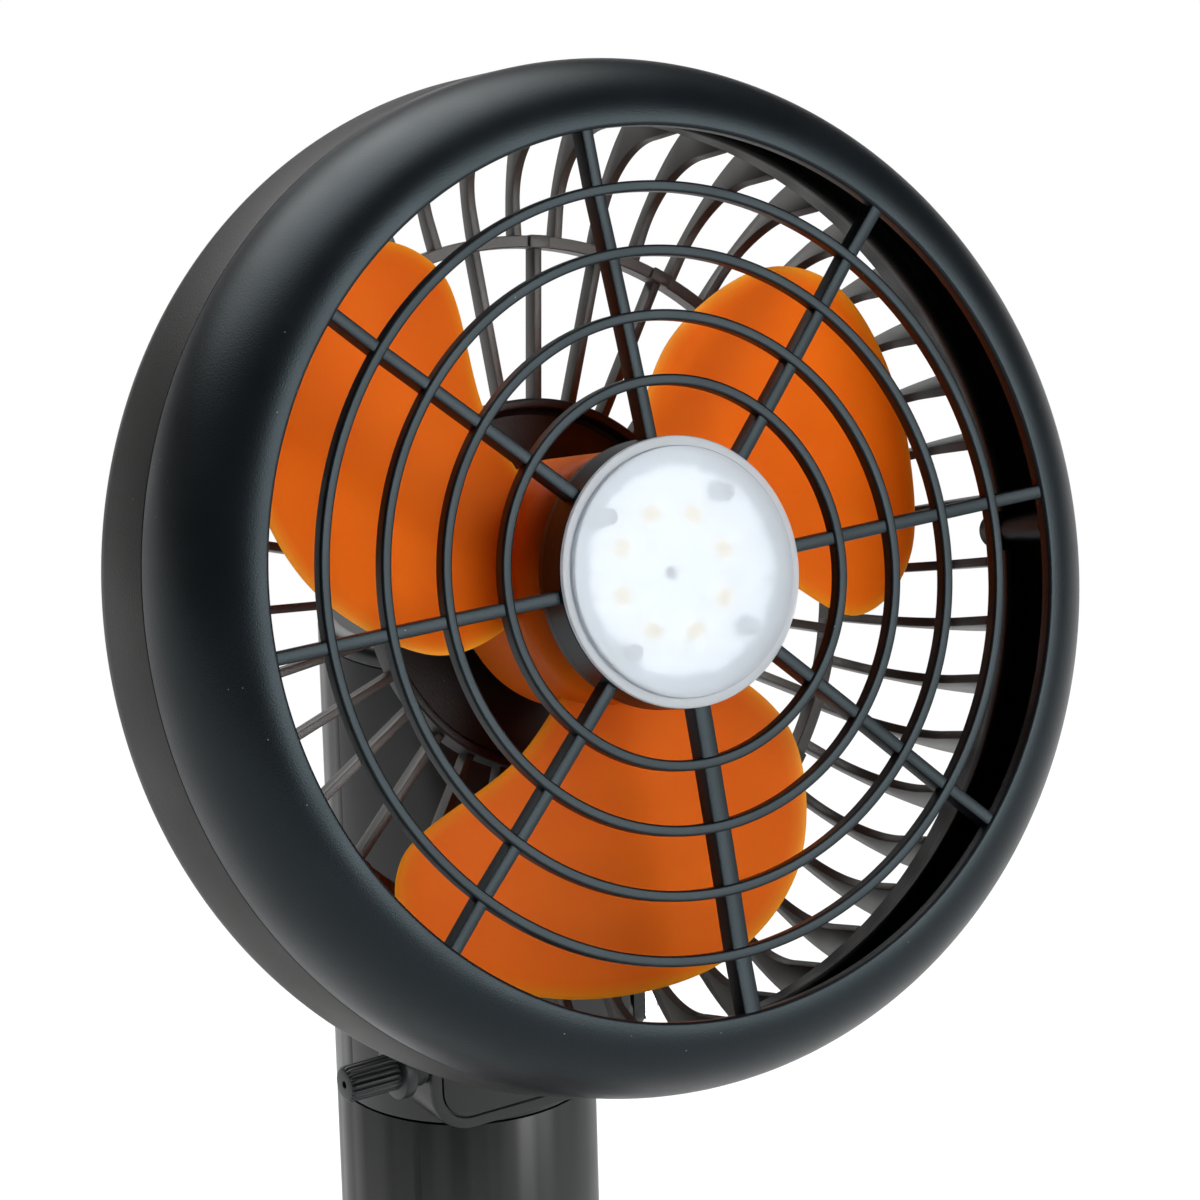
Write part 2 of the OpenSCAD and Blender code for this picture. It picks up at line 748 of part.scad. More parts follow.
// Side outline of a fork cheek: forward and upward places from the tilt axis
cheek_outline = [[4.2, -1.5], [8.3, 9.7], [23, yoke_y0], [yoke_z1 - 1, yoke_y0],
                 [yoke_z1 - 1, yoke_y1], [20, yoke_y1 + 2], [3.3, 22], [-4.2, 1.5]];

module cheek_plate()
    rotate([90, 0, 90]) linear_extrude(height = cheek_t)
        union() {
            circle(r = cheek_end_r);
            polygon([for (p = cheek_outline) [p[1], p[0]]]);
        }

module tilt_arm() color(shell_black) at_hinge() {
    pad_y1 = hinge_drop - arm_pad_r0 - gap;
    pad_y0 = hinge_drop - arm_pad_r1 + 3;
    difference() {
        union() {
            for (x = [-cheek_x1, cheek_x0]) translate([x, 0, 0]) cheek_plate();
            translate([-cheek_x1, yoke_y0, yoke_z1 - yoke_t])
                cube([2 * cheek_x1, yoke_y1 - yoke_y0, yoke_t]);
            translate([-arm_pad_w / 2, pad_y0, yoke_z1 - yoke_t])
                cube([arm_pad_w, pad_y1 - pad_y0, yoke_t]);
        }
        x_rod(bolt_r + bolt_fit, -big, big);
        translate([0, hinge_drop, hinge_back]) arm_screw_places() {
            disc(arm_screw_r + 0.1, -head_d - 20, -head_d + 1);
            disc(2.9, -head_d - 20, -head_d - seat - yoke_t + 2.2);
        }
    }
}

module arm_screws() color(steel) at_head()
    arm_screw_places() translate([0, 0, -head_d - seat - yoke_t + 2.2 - seat])
        mirror([0, 0, 1]) rotate([0, 0, 45]) screw(arm_screw_r, 8, 2.6, 1.8);

// Square nut that sits outside the right fork cheek
module hinge_nut() color(steel) at_hinge() difference() {
    translate([cheek_x1 + seat, -3.5, -3.5]) cube([3.2, 7, 7]);
    x_rod(bolt_r + bolt_fit, 0, big);
}

bolt_x0 = -(cheek_x1 + knob_flange_t + 5);
bolt_x1 = cheek_x1 + 5;

module hinge_bolt() color(steel) at_hinge() x_rod(bolt_r, bolt_x0, bolt_x1);

knob_x1 = -(cheek_x1 + seat);
knob_x0 = knob_x1 - knob_flange_t - knob_l;

module clamp_knob() color("#3c4144") at_hinge() difference() {
    union() {
        x_rod(knob_flange_r, knob_x1 - knob_flange_t, knob_x1);
        translate([knob_x0, 0, 0]) rotate([0, 90, 0])
            cylinder(r1 = knob_r - 0.8, r2 = knob_r, h = 0.9);
        x_rod(knob_r, knob_x0 + 0.9, knob_x1);
    }
    for (i = [0:knob_flutes - 1]) rotate([360 * i / knob_flutes, 0, 0])
        translate([0, knob_r + 0.25, 0]) x_rod(0.65, knob_x0 - 1, knob_x1 - knob_flange_t - 0.6);
    x_rod(0.8, knob_x0 - 1, knob_x0 + 1.2);
    x_rod(bolt_r + 0.02, bolt_x0, 0);
}

module friction_washers() color("#6d6f70") at_hinge()
    for (s = [0, 1]) mirror([s, 0, 0]) difference() {
        x_rod(cheek_end_r - 0.3, boss_half_w + seat / 2, boss_half_w + seat / 2 + washer_t);
        x_rod(bolt_r + bolt_fit, 0, big);
    }

// ---------------------------------------------------------------- neck

neck_screw_x = 14;
neck_screw_zs = [boss_z0 + boss_h + 12.8, shell_top_z - 11.5];
neck_screw_r = 1.05;
neck_screw_l = 23;
neck_post_l = bore_r - neck_screw_x + 9.8;
neck_counterbore_y = 14;
ledge_w = 2.6;

module neck_shell_ring() {
    ring(column_r, bore_r, neck_z0, shell_top_z);
    ring(bore_r + eps, bore_r - ledge_w, neck_z0 + neck_base_t + gap,
         neck_z0 + neck_base_t + gap + 2);
}

module half_space(s)
    translate([-big / 2, s > 0 ? 0.05 : -big - 0.05, -big / 2]) cube([big, big, 2 * big]);

module neck_screw_places()
    for (x = [-1, 1], z = neck_screw_zs) translate([x * neck_screw_x, 0, z]) children();

// Solid whose front view is the boss's rounded rectangle, from depth y0 to y1
module boss_block(inset, corner, y0, y1)
    translate([0, y1, boss_z0 + boss_h / 2]) rotate([90, 0, 0]) linear_extrude(height = y1 - y0)
        rounded_rect(2 * (boss_half_w - inset), boss_h - 2 * inset, corner);

module neck_front() color(column_grey) difference() {
    union() {
        intersection() {
            neck_shell_ring();
            half_space(-1);
        }
        difference() {
            boss_block(0, boss_corner, boss_y, -8);
            disc(bore_r, neck_z0 - 1, shell_top_z);
            boss_block(boss_wall, boss_corner - boss_wall, boss_y + panel_t + 1, 0);
        }
        neck_screw_places() rotate([90, 0, 0]) difference() {
            translate([0, 0, seat / 2]) cylinder(r = 3.2, h = neck_post_l);
            cylinder(r = neck_screw_r + 0.05, h = 12);
        }
    }
    boss_block(panel_rim, boss_corner - panel_rim, boss_y - 1, boss_y + panel_t);
    boss_block(boss_wall, boss_corner - boss_wall, boss_y + panel_t + 1, 0);
    translate([0, hinge_y, hinge_z]) x_rod(bolt_r + bolt_fit, -big, big);
    neck_screw_places() rotate([90, 0, 0]) cylinder(r = neck_screw_r + 0.05, h = 12);
}

module hinge_panel() color(column_grey)
    boss_block(panel_rim + 0.15, boss_corner - panel_rim - 0.15, boss_y + seat, boss_y + panel_t - 0.05);

module neck_rear() color(column_grey) difference() {
    union() {
        intersection() {
            neck_shell_ring();
            half_space(1);
        }
        neck_screw_places() rotate([-90, 0, 0]) translate([0, 0, seat / 2])
            cylinder(r = 3.6, h = bore_r - 4.8);
    }
    neck_screw_places() rotate([-90, 0, 0]) {
        cylinder(r = 1.5, h = column_d);
        translate([0, 0, neck_counterbore_y]) cylinder(r = 2.7, h = column_d);
    }
}

module neck_screws() color(steel) neck_screw_places()
    translate([0, neck_counterbore_y + seat, 0]) rotate([-90, 0, 0])
        screw(neck_screw_r, neck_screw_l, 2.5, 1.8);

module neck_cap() color(column_grey) {
    rotate_extrude() polygon(concat(
        [[0, shell_top_z + seat], [column_r, shell_top_z + seat]],
        arc_points(column_r - cap_round, neck_top_z - cap_round, cap_round, cap_round, 0, 90, 6),
        [[0, neck_top_z]]));
    ring(bore_r - gap, bore_r - 2, shell_top_z - 4, shell_top_z + seat + eps);
}

module neck_base() color(dark) ring(fit_r, post_r + post_fit, neck_z0, neck_z0 + neck_base_t);

module swivel_post() color("#5b5f61") {
    ring(post_r, post_r - post_wall, seam_z - top_plate_t - post_rim_t - seat,
         neck_z0 + neck_base_t + gap + post_rim_t + 1);
    ring(post_r + post_rim, post_r - post_wall, seam_z - top_plate_t - post_rim_t - seat,
         seam_z - top_plate_t - seat);
}

module swivel_clip() color(steel)
    ring(post_r + post_rim, post_r + 0.03, neck_z0 + neck_base_t + gap,
         neck_z0 + neck_base_t + gap + post_rim_t);

// ---------------------------------------------------------------- body

body_screw_z = hub_t + spigot_h / 2;
body_screw_angles = [90, 210, 330];
body_screw_head_r = 2.2;
spot_face_d = 0.6;

module body_tube() color(column_grey) difference() {
    union() {
        ring(column_r, bore_r, tube_z0, seam_z);
        ring(bore_r + eps, post_r + seat, seam_z - top_plate_t, seam_z);
    }
    translate([-panel_w / 2, 10, panel_z - panel_h / 2]) cube([panel_w, 30, panel_h]);
    translate([10, -port_w / 2 - 0.4, port_z - port_h / 2 - 0.4])
        cube([30, port_w + 0.8, port_h + 0.8]);
    intersection() {
        ring(column_r + 2, column_r - flap_in, port_z - flap_half_h - gap,
             port_z + flap_half_h + gap);
        translate([10, -flap_half_w - gap, 0]) cube([40, 2 * (flap_half_w + gap), body_h]);
    }
    for (a = body_screw_angles) rotate([0, 0, a]) translate([0, 0, body_screw_z]) {
        x_rod(1.35, bore_r - 5, column_r + 5);
        x_rod(body_screw_head_r + gap, column_r - spot_face_d, column_r + 5);
    }
}

module control_panel() color(dark) difference() {
    union() {
        intersection() {
            translate([-panel_w / 2 + 0.15, panel_back_y, panel_z - panel_h / 2 + 0.15])
                cube([panel_w - 0.3, 20, panel_h - 0.3]);
            disc(column_r, 0, seam_z);
        }
        for (x = [-1, 1], z = [-1, 1])
            translate([x * 9, panel_back_y + eps, panel_z + z * (panel_h / 2 - 4)])
                rotate([90, 0, 0]) cylinder(r = 1.8, h = panel_back_y - control_board_y - seat / 2);
    }
    translate([0, 40, panel_z]) rotate([90, 0, 0]) linear_extrude(height = 40 - dish_y)
        rounded_rect(panel_w - 6, panel_h - 6, 4);
    for (z = [power_z, light_z]) translate([0, 0, z]) rotate([-90, 0, 0])
        cylinder(r = button_r + button_fit, h = 40);
    translate([0, 0, status_z]) rotate([-90, 0, 0]) cylinder(r = 1.6, h = 40);
}

module button() rotate([-90, 0, 0]) {
    disc(button_r, panel_back_y - flange_t - gap, dish_y + button_proud);
    disc(button_r + flange_extra, panel_back_y - flange_t - gap, panel_back_y - gap);
}

module power_button() color("#3a3f42") translate([0, 0, power_z]) button();

module light_button() color("#3a3f42") translate([0, 0, light_z]) button();

module status_lens() color("#9fd6a0") translate([0, 0, status_z]) rotate([-90, 0, 0])
    disc(1.5, panel_back_y - 0.2, dish_y + 0.2);

module control_board() color("#1f5a34") {
    translate([-panel_w / 2 + 1, control_board_y - board_t, panel_z - panel_h / 2 + 1])
        cube([panel_w - 2, board_t, panel_h - 2]);
    for (z = [power_z, light_z]) translate([0, 0, z]) rotate([-90, 0, 0]) {
        disc(3, control_board_y - eps, control_board_y + 1);
        disc(1.6, control_board_y, panel_back_y - flange_t - gap - button_travel - gap);
    }
    translate([0, 0, status_z]) rotate([-90, 0, 0])
        disc(1.2, control_board_y - eps, panel_back_y - 0.4);
}

module cell_places() for (a = [90, 210, 330]) rotate([0, 0, a]) translate([cell_pcr, 0, 0]) children();

module battery_cells() color("#6fb3c9") cell_places() disc(cell_r, cell_z, cell_z + cell_h);

module cell_cradles() color("#2f3335")
    for (z0 = [cell_z - cradle_t, cell_z + cell_h - cradle_grip]) difference() {
        disc(fit_r, z0, z0 + cradle_t + cradle_grip);
        cell_places() disc(cell_r + cell_fit, cell_z - 0.05, cell_z + cell_h + 0.05);
        disc(2.5, z0 - 1, z0 + 20);
    }

module charge_board() color("#1f5a34") difference() {
    disc(fit_r, charge_z, charge_z + board_t);
    disc(4, charge_z - 1, charge_z + 5);
}

module usb_socket() color(steel) translate([port_x1 - port_d, 0, port_z]) rotate([90, 0, 90])
    difference() {
        linear_extrude(height = port_d) rounded_rect(port_w, port_h, 1.5);
        translate([0, 0, 1]) linear_extrude(height = port_d)
            rounded_rect(port_w - 0.8, port_h - 0.8, 1.1);
    }

// Rubber flap over the charging port, let into the column's surface
module port_flap() color(rubber_black) {
    intersection() {
        ring(column_r + flap_out, column_r + flap_out - flap_t, port_z - flap_half_h,
             port_z + flap_half_h);
        translate([10, -flap_half_w, 0]) cube([40, 2 * flap_half_w, body_h]);
    }
    translate([column_r + flap_out - 0.4, -3, port_z + flap_half_h - 2.5]) cube([1.1, 6, 1.5]);
}

// ---------------------------------------------------------------- base and legs

module in_leg_frame(a) rotate([0, 0, a]) translate([pivot_out, 0, pivot_z]) children();

module y_rod(r, y0, y1) translate([0, y0, 0]) rotate([-90, 0, 0]) cylinder(r = r, h = y1 - y0);

module base_hub() color(column_grey) difference() {
    union() {
        rotate_extrude() polygon([[0, 0], [column_r - 1.5, 0], [column_r, 1.5], [column_r, hub_t],
                                  [0, hub_t]]);
        ring(fit_r, fit_r - 3, hub_t - eps, hub_t + spigot_h);
        disc(8, hub_t - eps, socket_h + 2);
        for (a = leg_angles) in_leg_frame(a) for (s = [-1, 1])
            translate([0, s > 0 ? lug_x : -lug_x - lug_t, 0]) {
                y_rod(lug_r, 0, lug_t);
                translate([-lug_r, 0, 0]) cube([2 * lug_r, lug_t, pivot_drop + eps]);
            }
    }
    disc(4.6, -1, socket_h);
    for (a = leg_angles) in_leg_frame(a) y_rod(pin_r + 0.02, -big, big);
    for (a = body_screw_angles) rotate([0, 0, a]) translate([0, 0, body_screw_z]) x_rod(1.0, 15, 40);
}

module hub_screws() color(steel)
    for (a = body_screw_angles) rotate([0, 0, a])
        translate([column_r - spot_face_d + seat, 0, body_screw_z])
            rotate([0, 90, 0]) screw(0.95, 5, body_screw_head_r, 0.9, 0.5);

module tripod_insert() color("#b58a3c") ring(4.58, socket_r, 0, socket_h - seat);

module leg_pins() color(steel)
    for (a = leg_angles) in_leg_frame(a) y_rod(pin_r, -(lug_x + lug_t), lug_x + lug_t);

// Arc-shaped bar that continues the column when the leg is folded, from z0 to z1 below
// the pivot, in the pivot's frame
module leg_arc(z0, z1, grow = 0) {
    r_out = column_r + grow;
    r_in = column_r - leg_t - grow;
    a = leg_half_arc;
    translate([-pivot_out, 0, z0]) linear_extrude(height = z1 - z0)
        polygon(concat(arc_points(0, 0, r_out, r_out, -a, a, 16),
                       arc_points(0, 0, r_in, r_in, a, -a, 16)));
}

module opened(a) in_leg_frame(a) rotate([0, -leg_open, 0]) children();

// Knuckle round the pin, with a neck into the leg and a heel that stops the open leg
module leg_knuckle()
    translate([0, knuckle_half, 0]) rotate([90, 0, 0]) linear_extrude(height = 2 * knuckle_half) {
        circle(r = knuckle_r);
        translate([-neck_in, -neck_l]) square([neck_in + neck_out, neck_l]);
        rotate(-leg_open) translate([-0.5, 0]) square([heel_w, pivot_drop - 0.25]);
    }

module leg(a) color(column_grey) difference() {
    opened(a) {
        leg_arc(-leg_l + foot_h + seat, -lug_r - 1);
        leg_knuckle();
    }
    in_leg_frame(a) y_rod(pin_r + pin_fit, -big, big);
}

module foot(a) color(rubber_black) difference() {
    opened(a) leg_arc(-leg_l, -leg_l + foot_h, 0.3);
    translate([-big, -big, floor_z - big]) cube([2 * big, 2 * big, big]);
}

module front_leg() leg(leg_angles[0]);

module right_leg() leg(leg_angles[1]);

module left_leg() leg(leg_angles[2]);

module front_foot() foot(leg_angles[0]);

module right_foot() foot(leg_angles[1]);

module left_foot() foot(leg_angles[2]);

front_guard();
lamp_back();
led_board();
led_chips();
led_lens();
rear_guard();
guard_screws();
rear_cap();
bearing_tube();
motor_bearings();
motor_stator();
motor_driver_board();
rotor_cup();
rotor_magnet();
motor_shaft();
shaft_clip();
impeller();
tilt_arm();
arm_screws();
hinge_nut();
hinge_bolt();
clamp_knob();
friction_washers();
neck_front();
neck_rear();
neck_screws();
hinge_panel();
neck_cap();
neck_base();
swivel_post();
swivel_clip();
body_tube();
control_panel();
power_button();
light_button();
status_lens();
control_board();
battery_cells();
cell_cradles();
charge_board();
usb_socket();
port_flap();
base_hub();
hub_screws();
tripod_insert();
leg_pins();
front_leg();
left_leg();
right_leg();
front_foot();
left_foot();
right_foot();
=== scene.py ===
"""Portable camping fan: caged head with a lamp, clamped to a swivelling battery column.

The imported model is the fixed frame. The mouldings that catch the light are rebuilt here with
rounded edges and true curves. Every other solid keeps its shape and gets a finish, and a few
get softened edges.
"""

from __future__ import annotations

import json
import logging
import math
from dataclasses import dataclass, field
from enum import Enum
from typing import Sequence

import bmesh
import bpy
from mathutils import Matrix, Vector

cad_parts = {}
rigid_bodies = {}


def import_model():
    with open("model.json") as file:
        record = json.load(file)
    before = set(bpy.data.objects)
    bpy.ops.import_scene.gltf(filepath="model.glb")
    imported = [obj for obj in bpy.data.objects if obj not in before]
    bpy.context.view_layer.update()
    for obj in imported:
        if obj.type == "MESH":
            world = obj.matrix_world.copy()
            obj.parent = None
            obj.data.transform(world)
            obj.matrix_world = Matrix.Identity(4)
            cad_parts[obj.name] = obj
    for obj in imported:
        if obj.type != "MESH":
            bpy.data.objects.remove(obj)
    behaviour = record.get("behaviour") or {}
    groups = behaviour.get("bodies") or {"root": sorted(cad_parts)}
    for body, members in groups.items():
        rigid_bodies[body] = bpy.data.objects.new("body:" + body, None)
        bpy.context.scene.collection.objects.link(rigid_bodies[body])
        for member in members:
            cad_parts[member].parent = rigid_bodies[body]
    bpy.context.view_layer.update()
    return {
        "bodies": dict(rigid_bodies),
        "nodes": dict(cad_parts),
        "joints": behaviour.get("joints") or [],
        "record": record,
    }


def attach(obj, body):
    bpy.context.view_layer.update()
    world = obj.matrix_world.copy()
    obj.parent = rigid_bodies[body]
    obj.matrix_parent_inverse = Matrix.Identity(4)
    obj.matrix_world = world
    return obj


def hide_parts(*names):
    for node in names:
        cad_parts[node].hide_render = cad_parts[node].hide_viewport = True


LOG = logging.getLogger("camping_fan")
MM = 0.001
WHITE = (1.0, 1.0, 1.0, 1.0)
MOST = (0.3, 0.7)  # where most values of a noise pattern lie
MIDDLE = (0.35, 0.65)  # the middle part of that range

Point = tuple[float, float]
Point3 = tuple[float, float, float]
Socket = bpy.types.NodeSocket
Outputs = bpy.types.bpy_prop_collection


class Body(Enum):
    """The rigid bodies that pieces ride on."""

    NECK = "neck"
    HEAD = "head"
    FAN = "fan"
    CLAMP = "clamp"


# --- materials ---


def linear(colour: str, share: float = 1.0) -> tuple[float, float, float, float]:
    """Converts a hex sRGB colour to linear RGBA.

    Args:
        colour: Six hex digits after a hash.
        share: Share of its light to keep.

    Returns:
        The linear red, green and blue values, with an alpha of 1.
    """
    values = [int(colour[i : i + 2], 16) / 255 for i in (1, 3, 5)]
    flat = [v / 12.92 if v <= 0.04045 else ((v + 0.055) / 1.055) ** 2.4 for v in values]
    return (flat[0] * share, flat[1] * share, flat[2] * share, 1.0)


class Nodes:
    """A node tree under construction."""

    def __init__(self, tree: bpy.types.NodeTree) -> None:
        """Empties the tree and adds its coordinates.

        Args:
            tree: The tree.
        """
        self.tree = tree
        self.tree.nodes.clear()
        self.coords = self.node("TexCoord")

    def node(self, kind: str, links: dict | None = None, **settings: object) -> Outputs:
        """Adds one node.

        Args:
            kind: The node's type, without its prefix.
            links: Input socket, by name or number, to a value or an output socket.
            **settings: Attributes of the node.

        Returns:
            The new node's output sockets.
        """
        made = self.tree.nodes.new("ShaderNode" + kind)
        for key, value in settings.items():
            setattr(made, key, value)
        for key, value in (links or {}).items():
            if isinstance(value, bpy.types.NodeSocket):
                self.tree.links.new(value, made.inputs[key])
            else:
                made.inputs[key].default_value = value
        return made.outputs


class Shader(Nodes):
    """A material under construction."""

    def __init__(self, name: str) -> None:
        """Starts an empty material.

        Args:
            name: Name of the material.
        """
        self.material = bpy.data.materials.new(name)
        self.material.use_nodes = True
        super().__init__(self.material.node_tree)
        self.place = self.coords["Object"]

    def patches(
        self,
        size_mm: float,
        ends: Point = (0.0, 1.0),
        detail: float = 2.0,
        spread: Point = (0.0, 1.0),
    ) -> Socket:
        """Adds soft patches that run between two values.

        Args:
            size_mm: Size of the patches.
            ends: The two values.
            detail: Number of finer layers.
            spread: The part of the pattern that fills the way between them.

        Returns:
            The value.
        """
        links = {"Vector": self.place, "Scale": 1 / (size_mm * MM), "Detail": detail}
        pattern = self.node("TexNoise", links)["Fac"]
        return self.node("MapRange", dict(enumerate((pattern, *spread, *ends))))["Result"]

    def grain(self, size_mm: float, depth_mm: float, detail: float = 2.0) -> Socket:
        """Adds a fine relief.

        Args:
            size_mm: Size of its grains.
            depth_mm: Depth of the relief.
            detail: Number of finer layers.

        Returns:
            The normal.
        """
        height = self.patches(size_mm, detail=detail)
        return self.node("Bump", {"Height": height, "Distance": depth_mm * MM, "Strength": 1.0})[0]

    def finish(self, surface: Socket) -> bpy.types.Material:
        """Connects the surface and gives the finished material."""
        self.node("OutputMaterial", {"Surface": surface})
        return self.material


@dataclass(frozen=True)
class Moulded:
    """Plastic or rubber moulded against a spark-eroded tool, with specks of dust on some.

    The real grain is under 0.1 mm and is drawn coarser, so that it shows.
    """

    name: str
    colour: str
    roughness: float = 0.5
    grain_mm: float = 0.35
    depth_mm: float = 0.02
    specular: float = 0.5
    dust: float = 0.0
    tint: str = "#ffffff"
    cloud_mm: float = 14.0
    cloud_share: float = 0.82
    wear_mm: float = 22.0
    wear: float = 0.04
    speck_gap_mm: float = 5.2
    speck: Point = (0.016, 0.03)
    speck_colour: str = "#9aa2a6"

    def build(self) -> bpy.types.Material:
        """Builds the material.

        Returns:
            The material.
        """
        sh = Shader(self.name)
        cloud = sh.patches(self.cloud_mm, detail=3, spread=MIDDLE)
        links = {0: cloud, 6: linear(self.colour, self.cloud_share), 7: linear(self.colour)}
        colour = sh.node("Mix", links, data_type="RGBA")[2]
        if self.dust:
            cells = {"Vector": sh.place, "Scale": 1 / (self.speck_gap_mm * MM)}
            away = sh.node("TexVoronoi", cells)["Distance"]
            share = sh.node("MapRange", dict(enumerate((away, *self.speck, self.dust, 0.0))))[0]
            links = {0: share, 6: colour, 7: linear(self.speck_colour)}
            colour = sh.node("Mix", links, data_type="RGBA")[2]
        rough = (self.roughness - self.wear, self.roughness + self.wear)
        links = {
            "Base Color": colour,
            "Roughness": sh.patches(self.wear_mm, rough, spread=MOST),
            "Specular IOR Level": self.specular,
            "Specular Tint": linear(self.tint),
            "Normal": sh.grain(self.grain_mm, self.depth_mm),
        }
        return sh.finish(sh.node("BsdfPrincipled", links)[0])


@dataclass(frozen=True)
class Metal:
    """Turned, plated or drawn metal with fine lines along it."""

    name: str
    colour: str
    roughness: float = 0.3
    lines_mm: float = 0.4
    lines_deep_mm: float = 0.004
    stretch: Point3 = (1.0, 1.0, 6.0)
    cloud_mm: float = 6.0
    cloud_share: float = 0.8
    wear: float = 0.07

    def build(self) -> bpy.types.Material:
        """Builds the material.

        Returns:
            The material.
        """
        sh = Shader(self.name)
        place = sh.node("Mapping", {"Vector": sh.place, "Scale": self.stretch})[0]
        links = {"Vector": place, "Scale": 1 / (self.lines_mm * MM), "Detail": 2.0}
        lines = sh.node("TexNoise", links)["Fac"]
        rough = (self.roughness - self.wear, self.roughness + self.wear)
        dull, bright = linear(self.colour, self.cloud_share), linear(self.colour)
        tone = {0: sh.patches(self.cloud_mm), 6: dull, 7: bright}
        relief = {"Height": lines, "Distance": self.lines_deep_mm * MM, "Strength": 1.0}
        links = {
            "Base Color": sh.node("Mix", tone, data_type="RGBA")[2],
            "Metallic": 1.0,
            "Roughness": sh.node("MapRange", dict(enumerate((lines, *MOST, *rough))))[0],
            "Normal": sh.node("Bump", relief)[0],
        }
        return sh.finish(sh.node("BsdfPrincipled", links)[0])


@dataclass(frozen=True)
class Blade:
    """Thin orange polypropylene: it lets light through, and a lighter orange is painted along its
    edges as a painted glow of the light through them.
    """

    name: str = "blade_orange"
    body: str = "#f97a06"
    deep: str = "#f37304"
    # the painted glow along the thin edges
    edge: str = "#ffa826"
    roughness: float = 0.5
    specular: float = 0.18
    scatter: float = 0.25
    scatter_m: float = 0.003
    scatter_rgb: Point3 = (1.0, 0.35, 0.08)
    through: float = 0.3
    cloud_mm: float = 30.0
    grain_mm: float = 0.5
    depth_mm: float = 0.008

    def build(self) -> bpy.types.Material:
        """Builds the material.

        Returns:
            The material.
        """
        sh = Shader(self.name)
        rim = sh.node("Attribute", attribute_name="rim")["Fac"]
        cloud = sh.patches(self.cloud_mm, spread=MIDDLE)
        links = {0: cloud, 6: linear(self.deep), 7: linear(self.body)}
        body = sh.node("Mix", links, data_type="RGBA")[2]
        # painted glow: near the rim the colour turns to the lighter edge colour
        links = {0: rim, 6: body, 7: linear(self.edge)}
        colour = sh.node("Mix", links, data_type="RGBA")[2]
        grain = sh.grain(self.grain_mm, self.depth_mm)
        links = {
            "Base Color": colour,
            "Roughness": self.roughness,
            "Specular IOR Level": self.specular,
            "Subsurface Weight": self.scatter,
            "Subsurface Radius": self.scatter_rgb,
            "Subsurface Scale": self.scatter_m,
            "Normal": grain,
        }
        skin = sh.node("BsdfPrincipled", links)[0]
        glow = sh.node("BsdfTranslucent", {"Color": colour, "Normal": grain})[0]
        return sh.finish(sh.node("MixShader", {0: self.through, 1: skin, 2: glow})[0])


@dataclass(frozen=True)
class Frosted:
    """Clear acrylic frosted on its face: the board behind it shows soft and pale."""

    name: str
    colour: str = "#e6ecf2"
    deep: str = "#dde4ea"
    roughness: float = 0.3
    specular: float = 0.15
    clear: float = 0.76
    ior: float = 1.49
    cloud_mm: float = 9.0
    grain_mm: float = 0.6
    depth_mm: float = 0.01

    def build(self) -> bpy.types.Material:
        """Builds the material.

        Returns:
            The material.
        """
        sh = Shader(self.name)
        tone = {0: sh.patches(self.cloud_mm), 6: linear(self.deep), 7: linear(self.colour)}
        links = {
            "Base Color": sh.node("Mix", tone, data_type="RGBA")[2],
            "Roughness": self.roughness,
            "Specular IOR Level": self.specular,
            "Transmission Weight": self.clear,
            "IOR": self.ior,
            "Normal": sh.grain(self.grain_mm, self.depth_mm, 3),
        }
        return sh.finish(sh.node("BsdfPrincipled", links)[0])


